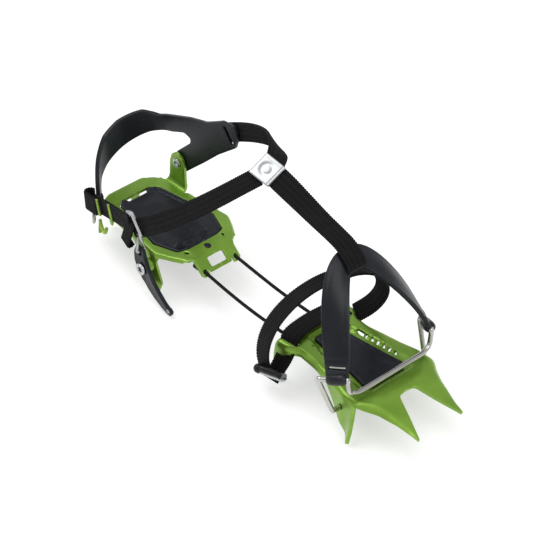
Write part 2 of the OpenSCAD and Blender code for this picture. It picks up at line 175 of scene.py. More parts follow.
def blended(tree, factor, first, second):
    made = tree.nodes.new("ShaderNodeMix")
    made.data_type = "RGBA"
    tree.links.new(factor, made.inputs["Factor"])
    for socket, colour in (("A", first), ("B", second)):
        target = [i for i in made.inputs if i.name == socket and i.type == "RGBA"][0]
        if isinstance(colour, tuple):
            target.default_value = (*colour, 1)
        else:
            tree.links.new(colour, target)
    return [o for o in made.outputs if o.type == "RGBA"][0]


def metal(name, dark, light, edge_highlight, rough, metallic=1.0, coat=0.0, grain=0.05):
    """Metal with cloudy colour, a fine grain, and a painted highlight that lightens its edges."""
    mat, tree, shader = new_material(name)
    shader.inputs["Metallic"].default_value = metallic
    shader.inputs["Coat Weight"].default_value = coat
    shader.inputs["Coat Roughness"].default_value = 0.22
    place = scaled_coords(tree, "Object", (1, 1, 1))
    clouds = noise(tree, place, 60)
    colour = blended(tree, mapped(tree, clouds, 0.35, 0.65, 0, 1), dark, light)
    # Painted highlight: edges found by pointiness are mixed towards a lighter colour.
    edges = tree.nodes.new("ShaderNodeNewGeometry").outputs["Pointiness"]
    colour = blended(tree, mapped(tree, edges, 0.53, 0.62, 0, 0.6), colour, edge_highlight)
    tree.links.new(colour, shader.inputs["Base Color"])
    fine = noise(tree, place, 2400, 2)
    tree.links.new(mapped(tree, fine, 0.3, 0.7, rough - 0.04, rough + 0.06), shader.inputs["Roughness"])
    bump(tree, shader, fine, grain, 0.00003)
    return mat


def moulded(name, dark, light, rough, grain=1800):
    """Moulded plastic with fine grain, faint clouding and a painted highlight that lightens its edges."""
    mat, tree, shader = new_material(name)
    place = scaled_coords(tree, "Object", (1, 1, 1))
    clouds = noise(tree, place, 45)
    colour = blended(tree, mapped(tree, clouds, 0.3, 0.7, 0, 1), dark, light)
    # Painted highlight: edges found by pointiness are mixed towards a lighter tone.
    edges = tree.nodes.new("ShaderNodeNewGeometry").outputs["Pointiness"]
    edge_highlight_tone = tuple(min(1, c * 2.4 + 0.012) for c in light)
    colour = blended(tree, mapped(tree, edges, 0.52, 0.62, 0, 0.6), colour, edge_highlight_tone)
    tree.links.new(colour, shader.inputs["Base Color"])
    fine = noise(tree, place, grain, 2)
    tree.links.new(mapped(tree, fine, 0.3, 0.7, rough - 0.06, rough + 0.08), shader.inputs["Roughness"])
    bump(tree, shader, fine, 0.2, 0.00005)
    shader.inputs["Specular IOR Level"].default_value = 0.22
    return mat


def woven(name, dark, light, along, across, sheen):
    """Woven nylon: yarns along and across the piece's own UV metres."""
    mat, tree, shader = new_material(name)
    uv = scaled_coords(tree, "UV", (1, 1, 1))
    waves = []
    for direction, pitch in (("X", along), ("Y", across)):
        wave = node(tree, "ShaderNodeTexWave", Scale=TAU / pitch / 20, Distortion=0.6, Detail=1.0)
        wave.bands_direction = direction
        tree.links.new(uv, wave.inputs["Vector"])
        waves.append(wave.outputs["Fac"])
    weave = tree.nodes.new("ShaderNodeMath")
    weave.operation = "MULTIPLY"
    tree.links.new(waves[0], weave.inputs[0])
    tree.links.new(waves[1], weave.inputs[1])
    colour = blended(tree, mapped(tree, weave.outputs[0], 0, 0.8, 0, 1), dark, light)
    clouds = noise(tree, scaled_coords(tree, "Object", (1, 1, 1)), 90)
    fade = tuple(min(1, c * 1.35) for c in light)
    colour = blended(tree, mapped(tree, clouds, 0.5, 0.75, 0, 0.5), colour, fade)
    tree.links.new(colour, shader.inputs["Base Color"])
    tree.links.new(mapped(tree, clouds, 0.3, 0.7, 0.6, 0.78), shader.inputs["Roughness"])
    bump(tree, shader, weave.outputs[0], 0.35, 0.00012)
    shader.inputs["Specular IOR Level"].default_value = 0.12
    shader.inputs["Sheen Weight"].default_value = sheen
    shader.inputs["Sheen Roughness"].default_value = 0.5
    return mat


# The third colour given to each metal is the painted highlight on its edges.
MATERIALS = {
    "anodised": metal("anodised", (0.165, 0.32, 0.024), (0.205, 0.38, 0.036), (0.42, 0.62, 0.17),
                      0.34, 0.7, 0.35),
    "pad": moulded("pad", (0.006, 0.007, 0.011), (0.012, 0.014, 0.02), 0.36),
    "harness": moulded("harness", (0.007, 0.008, 0.011), (0.012, 0.014, 0.018), 0.3),
    "webbing": woven("webbing", (0.002, 0.002, 0.0025), (0.009, 0.009, 0.01), 0.0008, 0.0019, 0.03),
    "steel_wire": metal("steel_wire", (0.4, 0.395, 0.37), (0.5, 0.495, 0.47), (0.7, 0.7, 0.68), 0.17),
    "slider_metal": metal("slider_metal", (0.4, 0.41, 0.42), (0.47, 0.48, 0.49), (0.66, 0.66, 0.66),
                          0.3, grain=0.02),
    "buckle_plastic": moulded("buckle_plastic", (0.004, 0.004, 0.005), (0.008, 0.008, 0.009), 0.28),
    "cord_black": woven("cord_black", (0.003, 0.003, 0.004), (0.014, 0.014, 0.015), 0.0012, 0.0011, 0.03),
    "cord_lime": woven("cord_lime", (0.13, 0.24, 0.02), (0.36, 0.5, 0.09), 0.0012, 0.0011, 0.05),
}


# ---------------------------------------------------------------- mesh makers, all in mm
def unit(v):
    v = np.asarray(v, float)
    return v / np.maximum(np.linalg.norm(v, axis=-1, keepdims=True), 1e-12)


def smooth(rows, steps):
    """Catmull-Rom curve through rows, column by column."""
    p = np.asarray(rows, float)
    out = []
    for i in range(len(p) - 1):
        a, b, c, d = p[max(i - 1, 0)], p[i], p[i + 1], p[min(i + 2, len(p) - 1)]
        for f in np.arange(steps) / steps:
            out.append(0.5 * (2 * b + (c - a) * f + (2 * a - 5 * b + 4 * c - d) * f * f
                              + (3 * b - a - 3 * c + d) * f ** 3))
    out.append(p[-1])
    return np.array(out)


def arc_lengths(points):
    return np.concatenate([[0], np.cumsum(np.linalg.norm(np.diff(points, axis=0), axis=1))])


def even(rows, pitch):
    """Rows resampled at an even pitch along their first three columns."""
    s = arc_lengths(rows[:, :3])
    count = max(2, int(round(s[-1] / pitch)) + 1)
    at = np.linspace(0, s[-1], count)
    return np.stack([np.interp(at, s, rows[:, k]) for k in range(rows.shape[1])], axis=1)


class Shape:
    """Vertices, faces and UVs that build up into one object."""

    def __init__(self):
        self.verts, self.faces, self.uvs = [], [], []

    def add(self, verts, faces, uvs):
        base = len(self.verts)
        self.verts += [tuple(v) for v in verts]
        self.faces += [tuple(base + i for i in f) for f in faces]
        self.uvs += uvs

    def make(self, name, slot, bevel=0.0, sharp=None):
        mesh = bpy.data.meshes.new(name)
        mesh.from_pydata([Vector(v) * MM for v in self.verts], [], self.faces)
        layer = mesh.uv_layers.new(name="flat")
        flat = [co for face in self.uvs for uv in face for co in uv]
        layer.data.foreach_set("uv", np.array(flat, np.float32) * MM)
        mesh.materials.append(MATERIALS[slot])
        mesh.validate()
        mesh.shade_smooth()
        if sharp:
            mesh.set_sharp_from_angle(angle=math.radians(sharp))
        made = bpy.data.objects.new(name, mesh)
        bpy.context.scene.collection.objects.link(made)
        if bevel:
            mod = made.modifiers.new("bevel", "BEVEL")
            mod.width, mod.segments, mod.limit_method = bevel * MM, 2, "ANGLE"
            mod.angle_limit = math.radians(40)
        weights = made.modifiers.new("normals", "WEIGHTED_NORMAL")
        weights.keep_sharp = True
        return made


def rings(shape, loops, across, along):
    """Skin over equal closed loops, with flat end caps. across and along give the UVs."""
    n, m = len(loops[0]), len(loops)
    verts = [v for loop in loops for v in loop]
    faces, uvs = [], []
    for i in range(m - 1):
        for k in range(n):
            j = (k + 1) % n
            faces.append((i * n + k, i * n + j, (i + 1) * n + j, (i + 1) * n + k))
            uvs.append([(along[i], across[k]), (along[i], across[k + 1]),
                        (along[i + 1], across[k + 1]), (along[i + 1], across[k])])
    for face in (tuple(range(n - 1, -1, -1)), tuple((m - 1) * n + k for k in range(n))):
        faces.append(face)
        uvs.append([(verts[v][0], verts[v][1]) for v in face])
    shape.add(verts, faces, uvs)


def tube(shape, points, radius, sides=14, pitch=None, rounded_ends=False):
    """Round tube along points."""
    pts = np.asarray(points, float)
    if pitch:
        pts = even(pts, pitch)
    tan = unit(np.gradient(pts, axis=0))
    side = unit(np.cross(tan[0], [0.3, 0.2, 1.0]))
    radii = np.full(len(pts), float(radius))
    if rounded_ends:
        steps = np.array([0.0, 0.08, 0.3, 0.65, 1.0]) * radius
        factors = np.sqrt(np.maximum(0, 1 - (1 - steps / radius) ** 2))
        factors[0] = 0.15
        head = [pts[0] + tan[0] * s for s in steps[:-1]]
        tail = [pts[-1] - tan[-1] * s for s in steps[:-1]][::-1]
        keep = [i for i in range(len(pts))
                if radius < arc_lengths(pts)[i] < arc_lengths(pts)[-1] - radius]
        mid = pts[keep] if keep else np.array([(pts[0] + pts[-1]) / 2])
        pts = np.concatenate([head, mid, tail])
        radii = np.concatenate([factors[:-1], np.ones(len(mid)), factors[:-1][::-1]]) * radius
        tan = unit(np.gradient(pts, axis=0))
    loops = []
    for i in range(len(pts)):
        side = unit(side - tan[i] * np.dot(side, tan[i]))
        up = np.cross(tan[i], side)
        loops.append([pts[i] + (side * math.cos(a) + up * math.sin(a)) * radii[i]
                      for a in np.arange(sides) * TAU / sides])
    rings(shape, loops, np.arange(sides + 1) * TAU * radius / sides, arc_lengths(pts))


def lathe(shape, origin, axis, profile, sides=28):
    """Turned form: profile holds (radius, height) pairs along axis from origin."""
    axis = unit(axis)
    side = unit(np.cross(axis, [0.31, 0.95, 0.2]))
    up = np.cross(axis, side)
    loops = [[np.asarray(origin) + axis * h + (side * math.cos(a) + up * math.sin(a)) * max(r, 0.02)
              for a in np.arange(sides) * TAU / sides] for r, h in profile]
    rings(shape, loops, np.arange(sides + 1) * 0.5, np.arange(len(profile)) * 0.5)


def washer(shape, origin, axis, inner, outer, height):
    """Rounded ring with a bore."""
    soft = min(height, outer - inner) * 0.3
    profile = [(inner, soft), (inner + soft, 0), (outer - soft, 0), (outer, soft),
               (outer, height - soft), (outer - soft, height), (inner + soft, height),
               (inner, height - soft)]
    axis = unit(axis)
    side = unit(np.cross(axis, [0.31, 0.95, 0.2]))
    up = np.cross(axis, side)
    sides = 28
    loops = [[np.asarray(origin) + axis * h + (side * math.cos(a) + up * math.sin(a)) * r
              for r, h in profile] for a in np.arange(sides) * TAU / sides]
    n = len(profile)
    verts = [v for loop in loops for v in loop]
    faces = [(i * n + k, ((i + 1) % sides) * n + k, ((i + 1) % sides) * n + (k + 1) % n, i * n + (k + 1) % n)
             for i in range(sides) for k in range(n)]
    shape.add(verts, faces, [[(verts[v][0], verts[v][1]) for v in f] for f in faces])


def frames(rows):
    """Points, side vectors and outward normals along rows of place, normal and more."""
    pts, nrm = rows[:, :3], unit(rows[:, 3:6])
    tan = unit(np.gradient(pts, axis=0))
    side = unit(np.cross(tan, nrm))
    return pts, side, np.cross(side, tan)


def area(loop):
    x, y = np.asarray(loop).T
    return 0.5 * float(np.sum(x * np.roll(y, -1) - y * np.roll(x, -1)))


def rounded(points, pitch):
    """Closed outline with each corner rounded by its third number, at an even pitch."""
    n = len(points)
    out = []
    for i in range(n):
        a, b, c = (np.array(points[(i + k) % n][:2], float) for k in (-1, 0, 1))
        r = points[i][2] if len(points[i]) > 2 else 0
        u, v = a - b, c - b
        lu, lv = np.linalg.norm(u), np.linalg.norm(v)
        u, v = u / max(lu, 1e-9), v / max(lv, 1e-9)
        angle = math.acos(max(-1, min(1, float(u @ v))))
        cut = min(r / max(math.tan(angle / 2), 1e-6), 0.48 * lu, 0.48 * lv)
        if r <= 0 or cut < 0.05 or angle > math.pi - 0.05:
            out.append(b)
            continue
        for f in (0, 0.25, 0.5, 0.75, 1):
            p, q = b + u * cut, b + v * cut
            out.append((1 - f) ** 2 * p + 2 * f * (1 - f) * b + f * f * q)
    loop = []
    for i in range(len(out)):
        a, b = out[i], out[(i + 1) % len(out)]
        steps = max(1, int(math.ceil(np.linalg.norm(b - a) / pitch)))
        loop += [a + (b - a) * k / steps for k in range(steps)]
    return np.array(loop)


def inward(loop):
    """Unit vectors into the material for a loop that keeps it on the left."""
    tan = unit(np.roll(loop, -1, 0) - np.roll(loop, 1, 0))
    return np.stack([-tan[:, 1], tan[:, 0]], axis=1)


def inside(points, loops):
    odd = np.zeros(len(points), bool)
    for loop in loops:
        a, b = loop, np.roll(loop, -1, 0)
        for (x0, y0), (x1, y1) in zip(a, b):
            if y0 == y1:
                continue
            hit = ((y0 > points[:, 1]) != (y1 > points[:, 1])) & (
                points[:, 0] < (x1 - x0) * (points[:, 1] - y0) / (y1 - y0) + x0)
            odd ^= hit
    return odd


def edge_distance(points, loops):
    best = np.full(len(points), 1e9)
    for loop in loops:
        a, b = loop, np.roll(loop, -1, 0)
        for p, q in zip(a, b):
            d = q - p
            t = np.clip(((points - p) @ d) / max(float(d @ d), 1e-12), 0, 1)
            best = np.minimum(best, np.linalg.norm(points - p - t[:, None] * d, axis=1))
    return best


def sheet_piece(shape, outline, holes, place, thickness, pitch=2.0, soft=0.45, relief=None):
    """Sheet cut to outline with holes, formed by place(x, y), with rounded edges.
    The material lies under the placed surface. relief(x, y, distance) raises the top."""
    loops = []
    for i, points in enumerate([outline] + holes):
        loop = rounded(points, pitch if i == 0 else min(pitch, 1.2))
        if (area(loop) > 0) != (i == 0):
            loop = loop[::-1]
        loops.append(loop)
    shrunk = [loop + inward(loop) * soft for loop in loops]
    low, high = loops[0].min(0), loops[0].max(0)
    xs, ys = np.arange(low[0], high[0], pitch), np.arange(low[1], high[1], pitch * 0.87)
    grid = np.array([(x + (pitch / 2 if j % 2 else 0), y) for j, y in enumerate(ys) for x in xs])
    grid = grid[inside(grid, loops)]
    grid = grid[edge_distance(grid, loops) > soft + 0.45 * pitch]
    pts, edges = [], []
    for loop in shrunk:
        base, n = len(pts), len(loop)
        pts += list(loop)
        edges += [(base + i, base + (i + 1) % n) for i in range(n)]
    rim_count = len(pts)
    pts += list(grid)
    result = geometry.delaunay_2d_cdt([Vector(p) for p in pts], edges, [], 0, 1e-4)
    flat = np.array([tuple(v) for v in result[0]])
    tris = np.array([f for f in result[2] if len(f) == 3])
    centres = flat[tris].mean(axis=1)
    tris = tris[inside(centres, shrunk)]
    came_from = {k: i for i, ids in enumerate(result[3]) for k in ids}

    def formed(xy, depth, lift=0.0):
        p = place(xy[:, 0], xy[:, 1])
        h = 0.15
        dx = place(xy[:, 0] + h, xy[:, 1]) - place(xy[:, 0] - h, xy[:, 1])
        dy = place(xy[:, 0], xy[:, 1] + h) - place(xy[:, 0], xy[:, 1] - h)
        return p + unit(np.cross(dx, dy)) * (np.asarray(lift) - depth)[..., None] if np.ndim(lift) \
            else p - unit(np.cross(dx, dy)) * depth

    lift = relief(flat[:, 0], flat[:, 1], edge_distance(flat, loops)) if relief else np.zeros(len(flat))
    top, bottom = formed(flat, 0.0, lift), formed(flat, thickness)
    n = len(flat)
    verts = list(top) + list(bottom)
    faces = [tuple(int(i) for i in t) for t in tris]
    faces += [tuple(int(i) + n for i in t[::-1]) for t in tris]
    uv = list(flat) + list(flat)
    start = 0
    for loop, inset in zip(loops, shrunk):
        count = len(loop)
        ids = [came_from[start + i] for i in range(count)]
        lifts = lift[ids]
        levels = []
        for share, depth, from_top in ((0.3, 0.3 * soft, 1), (0, soft, 0.4),
                                       (0, thickness - soft, 0), (0.3, thickness - 0.3 * soft, 0)):
            xy = loop + (inset - loop) * share
            levels.append((formed(xy, depth, lifts * from_top), xy))
        base = len(verts)
        for level, xy in levels:
            verts += list(level)
            uv += list(xy)
        ladder = [ids] + [[base + k * count + i for i in range(count)] for k in range(4)]
        ladder.append([i + n for i in ids])
        for upper, lower in zip(ladder, ladder[1:]):
            for i in range(count):
                j = (i + 1) % count
                faces.append((upper[i], lower[i], lower[j], upper[j]))
        start += count
    assert start == rim_count
    shape.add(verts, faces, [[tuple(uv[i]) for i in f] for f in faces])
    return shape


def softened(table, sigma=2.5, low=-300, high=120):
    """Value along x from a table of (x, value), smoothed over sigma mm."""
    x = np.arange(low, high, 0.5)
    keys, values = zip(*table)
    v = np.interp(x, keys, values)
    k = np.exp(-0.5 * (np.arange(-24, 25) * 0.5 / sigma) ** 2)
    v = np.convolve(np.pad(v, 24, mode="edge"), k / k.sum(), mode="valid")
    return lambda at: np.interp(at, x, v)


def rise(t):
    t = np.clip(t, 0, 1)
    return t * t * (3 - 2 * t)


def fold(distance, radius, angle):
    """Reach and drop of a sheet that bends down over radius through angle."""
    d = np.maximum(distance, 0)
    bent = np.minimum(d / radius, angle)
    left = d - bent * radius
    reach = radius * np.sin(bent) + left * np.cos(bent)
    drop = radius * (1 - np.cos(bent)) + left * np.sin(bent)
    return np.where(distance > 0, reach, distance), drop


def both(points):
    """Outline from one side's points, running from the rear centre to the front centre."""
    other = [(p[0], -p[1], *p[2:]) for p in reversed(points)]
    return [p for p in points] + other


def circle(x, y, r, count=14, squash=1.0):
    return [(x + r * squash * math.cos(a), y + r * math.sin(a)) for a in np.arange(count) * TAU / count]


def flat(z):
    """Places a sheet level at height z."""
    return lambda x, y: np.stack([x, y, np.full_like(x, z)], axis=-1)


def flip(rows):
    """Route rows mirrored to the other side."""
    rows = np.array(rows, float)
    rows[:, 1] *= -1
    if rows.shape[1] > 3:
        rows[:, 4] *= -1
    return rows


def bezier(a, b, c, d, f):
    """Points of the curve from a to d that leaves towards b and arrives from c."""
    f = np.asarray(f, float)[:, None]
    a, b, c, d = (np.array(p, float) for p in (a, b, c, d))
    return (1 - f) ** 3 * a + 3 * (1 - f) ** 2 * f * b + 3 * (1 - f) * f ** 2 * c + f ** 3 * d


def along_curve(a, b, c, d, normal_a, normal_d, steps=9, late=1.0):
    """Strap rows along that curve: the outward normal turns from normal_a to normal_d."""
    f = np.linspace(0, 1, steps + 1)
    turn = (f ** late)[:, None]
    normals = unit((1 - turn) * np.array(normal_a, float) + turn * np.array(normal_d, float))
    return np.hstack([bezier(a, b, c, d, f), normals])


def racetrack(middle, along, out, length, depth, steps=16):
    """Rows of a strap loop round both ends and along its outer side, open along its inner side."""
    along, out = unit(along), unit(out)
    straight, r = (length - depth) / 2, depth / 2
    rows = []
    for end, first in ((1, -90), (-1, 90)):
        for angle in np.radians(np.linspace(first, first + 180, steps)):
            ray = along * math.cos(angle) + out * math.sin(angle)
            rows.append(np.hstack([np.array(middle) + along * straight * end + ray * r, ray]))
    return np.array(rows)


# ---------------------------------------------------------------- cords
# The routes repeat the CAD's own points
PULL = [(-253, -29.5, -26), (-251.5, -30.5, -20), (-249.5, -31.5, -14), (-247, -33.5, -9.5),
        (-243.5, -36, -8), (-240.5, -37, -10.5), (-237, -38, -12.5), (-233.5, -39, -10),
        (-231.5, -39.5, -5)]
LINK = [(-152.8, 14.7, -9), (-146, 14.7, -9), (-138, 14.8, -9.6), (-130, 14.9, -10.4),
        (-118, 15, -11.4), (-106, 15, -12.2), (-94, 15, -12.6), (-82, 15, -12.6), (-72, 14.9, -12.3),
        (-62, 14.8, -11.9), (-51, 14.7, -11.5), (-44, 14.7, -11.5)]
CORD_R = 1.3


def make_cords():
    path = even(smooth(PULL[::-1], 8), 0.5)
    shape = Shape()
    tube(shape, path, CORD_R, sides=12)
    pull = shape.make("pull_cord_lime", "cord_lime")
    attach(pull, "heel_harness")
    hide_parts("pull_cord")
    for side, name in ((-1, "near"), (1, "far")):
        route = smooth(LINK, 8) * np.array([1, side, 1])
        shape = Shape()
        tube(shape, route, CORD_R, sides=12, pitch=1.2)
        link = shape.make("link_cord_%s_braid" % name, "cord_black")
        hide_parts("link_cord_" + name)
        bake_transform(link)


make_cords()


# ---------------------------------------------------------------- front section
def front_frame_sheet():
    fold_at = softened([(-50, 29.5), (-38, 29.5), (-31, 24.3), (-18, 24.3), (-7, 26.5), (10, 29.5),
                        (23, 33), (34, 33), (38, 32), (45, 25.8), (54, 22.3), (64, 20.6),
                        (74, 18.3), (84, 20.6)], 1.6)
    bend = softened([(30, 4), (42, 8)], 3)
    turn = softened([(30, math.radians(86)), (44, math.radians(62))], 2)
    recess = softened([(-37, 13.5), (-16, 19.5), (8, 23), (26, 24.5), (33, 20), (34, 17)], 1.5)

    def place(x, y):
        side = np.where(y < 0, -1.0, 1.0)
        reach, drop = fold(np.abs(y) - fold_at(x), bend(x), turn(x))
        out_y = np.where(np.abs(y) > fold_at(x), fold_at(x) + reach, np.abs(y)) * side
        back, back_drop = fold(-47 - x, 3.0, math.radians(88))
        out_x = np.where(x < -47, -47 - back, x)
        tilt = 0.29 * (np.sqrt((x - 46) ** 2 + 16) + (x - 46)) / 2
        well = np.minimum(np.minimum(recess(x) - np.abs(y), x + 37), 33.5 - x)
        dip = 2.4 * rise(well / 2.2)
        crown = 0.5 * rise((fold_at(x) - np.abs(y)) / 10) * rise((x - 34) / 6) * rise((60 - x) / 20)
        return np.stack([out_x, out_y, crown - drop - back_drop - tilt - dip], axis=-1)

    edge = lambda x, s: (x, float(fold_at(x)) + s)
    tip = POINT_TIP + 0.9
    half = [
        (-64, 0), (-64, 19, 4), (-50.5, 20, 2), (-50, 26, 2), (*edge(-50.5, 7), 2),
        (*edge(-52.5, 14), 4), (*edge(-50.5, 25), 3), (*edge(-47, 37.4), 1), (*edge(-44.5, 24), 3),
        (*edge(-43, 13), 5), (*edge(-35, 9), 4), (*edge(-29, 7.6), 5), (*edge(-10, 7.8), 8),
        (*edge(2, 9), 4), (*edge(13, 19), 5), (*edge(22, 28), 6), (*edge(36, 37.3), 1.2),
        (*edge(37.2, 28), 4), (*edge(36.2, 11), 4), (*edge(36.5, 6.5), 2.5), (*edge(41, 7.6), 3),
        (*edge(52, 7.5), 8), (*edge(66, 5.4), 12), (tip - 0.4, 21.4, 0.7), (tip - 0.6, 20.2, 0.7),
        (66, 13.6, 20), (51, 8.2, 3), (48.7, 6.4, 3), (48.2, 0),
    ]
    opening = both([(-34, 0), (-34, 11, 3), (-16, 12.5, 6), (8, 16, 8), (26, 19, 3), (30, 15, 3),
                    (30, 0)])
    holes = [opening]
    pitch, size = 5.2, 1.75
    for side in (-1, 1):
        holes.append([(-46.5, side * 24.6, 1.4), (-35, side * 23.2, 1.4), (-34, side * 26.4, 1.4),
                      (-46.5, side * 28.2, 1.4)])
        holes.append(circle(-60.2, side * 14.7, 1.75))
        holes.append(circle(BAIL_PIVOT[0], side * (float(fold_at(21.7)) + 14.4), 2.3))
        for k in range(9):
            x = -27 + pitch * k
            y = side * (16.3 + (x + 34) * 0.11)
            start = math.pi / 3 * (k % 2)
            if side > 0 and k == 2:
                holes.append([(x - 3.6, y - 1.3, 1.2), (x + 3.6, y - 0.6, 1.2), (x + 3.6, y + 1.8, 1.2),
                              (x - 3.6, y + 1.2, 1.2)])
                continue
            if side > 0 and k == 1:
                continue
            holes.append([(x + size * math.cos(start + a), y + size * math.sin(start + a), 0.3)
                          for a in (0, TAU / 3, 2 * TAU / 3)])
    shape = Shape()
    sheet_piece(shape, both(half), holes, place, SHEET, pitch=1.7, soft=0.5)
    made = shape.make("front_frame_formed", "anodised")
    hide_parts("front_frame")
    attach(made, "front")


def front_pad_moulded():
    def relief(x, y, d):
        rim = 0.7 * rise(1 - np.abs(d - 1.6) / 1.4)
        ridges = np.where(x < -15, 0.9 * np.maximum(0, np.sin((x + 33) * TAU / 6)) ** 2, 0)
        return rim + ridges * rise((d - 2.5) / 1.5) + 0.5 * rise((d - 5) / 9)

    outline = both([(-33.6, 0), (-33.6, 10.6, 2.6), (-16, 12.1, 6), (8, 15.6, 8), (25.8, 18.6, 3),
                    (29.6, 14.8, 3), (29.6, 0)])
    shape = Shape()
    sheet_piece(shape, outline, [], flat(-0.6), 8.6, pitch=1.5, soft=0.7, relief=relief)
    flange = both([(-36, 0), (-36, 15.5, 2), (-16, 20, 6), (8, 23, 6), (21, 24.4, 4), (31, 17, 3), (31, 0)])
    sheet_piece(shape, flange, [], flat(-5.6), 3.4, pitch=3, soft=0.8)
    made = shape.make("front_pad_moulded", "pad")
    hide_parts("front_pad")
    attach(made, "front")


def stud_rings():
    shape = Shape()
    for side in (-1, 1):
        washer(shape, (27.5, side * 21.6, -2.5), (0, 0, 1), 1.25, 2.7, 1.0)
    made = shape.make("pad_stud_rings", "slider_metal")
    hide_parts("pad_studs")
    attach(made, "front")


GRIP_REAR, GRIP_FRONT = np.array([10.7, 49, 12.6]), np.array([31, 40, 20.5])


def bail_wire():
    side = [BAIL_PIVOT * [1, 0, 1] + [0, 34.5, 0], BAIL_PIVOT * [1, 0, 1] + [0, 40.6, 0],
            BAIL_PIVOT * [1, 0, 1] + [-0.3, 42.8, 0.7], (20.9, 44.4, -10.4), (12.3, 48, 8.6),
            (11.2, 48.6, 11.6), (11.2, 48.7, 13), (12.6, 48.2, 13.8), GRIP_REAR * 0.86 + GRIP_FRONT * 0.14,
            GRIP_REAR * 0.12 + GRIP_FRONT * 0.88, (30.2, 40.2, 19.9), (31, 39.7, 18.4), (31.4, 38.8, 12),
            (31.6, 38, 8.6), (32.1, 35.8, 6.6), (32.6, 32, 5.2), (32.9, 28, 4.8), (33, 20, 4.8), (33, 8, 4.8)]
    side = np.array([tuple(p) for p in side], float)
    route = np.concatenate([side, flip(side)[::-1]])
    shape = Shape()
    tube(shape, smooth(route, 6), WIRE_R, sides=18, pitch=0.9, rounded_ends=True)
    made = shape.make("toe_bail_wire", "steel_wire")
    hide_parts("toe_bail")
    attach(made, "toe_bail")


# Toe harness arm: the same curve as the CAD's, its width swelling between wire and crown
ARM = ((24, 43, 18), (16, 37, 47), (-16, 16, 80), (-12.5, 0, 80))
ARM_OUT = ((0.3, 0.87, 0.38), (0.66, 0, 0.75))
ARM_WIDTHS = (17, 13)
ARM_BULGE = 4.5


def arm_rows():
    """Rear edge, then front edge, of the toe harness from the far wire to the near one."""
    f = np.linspace(0, 1, 10)
    middle = bezier(*ARM, f)
    ahead = bezier(*ARM, f + 0.01) - bezier(*ARM, f - 0.01)
    out = unit((1 - f)[:, None] * np.array(ARM_OUT[0]) + f[:, None] * np.array(ARM_OUT[1]))
    side = unit(np.cross(ahead, out))
    if side[0][0] < 0:
        side = -side
    half = (ARM_WIDTHS[0] + (ARM_WIDTHS[1] - ARM_WIDTHS[0]) * f + ARM_BULGE * np.sin(math.pi * f)) / 2
    far = np.hstack([middle - side * half[:, None], middle + side * half[:, None]])
    near = far[::-1][1:] * np.array([1, -1, 1, 1, -1, 1])
    return np.concatenate([far, near])


def toe_harness_moulded():
    rows = smooth(arm_rows(), 12)
    middle = (rows[:, :3] + rows[:, 3:]) / 2
    s = arc_lengths(middle)
    total = s[-1]
    half = np.linalg.norm(rows[:, 3:] - rows[:, :3], axis=1) / 2
    across = unit(rows[:, 3:] - rows[:, :3])
    outward = unit(np.cross(unit(np.gradient(middle, axis=0)), across))
    if outward[len(outward) // 2][2] < 0:
        outward = -outward
    to_front = 1.0 if np.dot(np.cross(np.gradient(middle, axis=0)[60], across[60]), outward[60]) > 0 else -1.0

    def place(x, y):
        at = np.clip(x, 0, total)
        p = np.stack([np.interp(at, s, middle[:, k]) for k in range(3)], axis=-1)
        w = unit(np.stack([np.interp(at, s, across[:, k]) for k in range(3)], axis=-1))
        n = unit(np.stack([np.interp(at, s, outward[:, k]) for k in range(3)], axis=-1))
        reach = np.interp(at, s, half)
        dish = 1.1 * (y / 9) ** 2
        return p + w * (to_front * y * reach / 9)[:, None] + n * (1.6 - dish)[:, None]

    def relief(x, y, d):
        rim = 0.5 * rise(1 - np.abs(d - 1.2) / 1.2)
        band = np.minimum(np.abs(x - 13.5), np.abs(x - (total - 13.5)))
        return rim - 0.5 * rise(1 - band / 1.4)

    left = [(0, 9, 1.5), (16, 9, 4), (60, 9, 12), (total / 2, 9, 10), (total - 60, 9, 12), (total - 16, 9, 4),
            (total, 9, 1.5)]
    right = [(x, -y, r) for x, y, r in left[::-1]]
    windows = [[(x - 1.3, -6, 0.8), (x + 1.3, -6, 0.8), (x + 1.3, 6.4, 0.8), (x - 1.3, 6.4, 0.8)]
               for x in (8.2, total - 8.2)]
    shape = Shape()
    sheet_piece(shape, left + right, windows, place, 3.2, pitch=1.6, soft=0.8, relief=relief)
    for sign in (1, -1):
        turn = np.array([1, sign, 1])
        grip = [GRIP_REAR + (GRIP_FRONT - GRIP_REAR) * t for t in np.linspace(0.29, 1.0, 14)]
        route = np.array(grip) * turn
        tube(shape, route, 4.3, sides=20, rounded_ends=True)
    lip = np.array([(-7.4 - 0.002 * y * y, y, 74.6 - 0.028 * y * y) for y in np.linspace(-12.5, 12.5, 20)])
    tube(shape, lip, 2.1, sides=16, rounded_ends=True)
    made = shape.make("toe_harness_moulded", "harness")
    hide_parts("toe_harness")
    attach(made, "toe_bail")
    pins = Shape()
    for at in (8.2, total - 8.2):
        ends = place(np.array([at, at]), np.array([-6.6, 6.9]))
        spine = np.array([np.interp(at, s, outward[:, k]) for k in range(3)])
        route = np.linspace(ends[0], ends[1], 12) - unit(spine) * 2.0
        tube(pins, route, 1.5, sides=14, rounded_ends=True)
    made = pins.make("toe_harness_pins", "steel_wire")
    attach(made, "toe_bail")


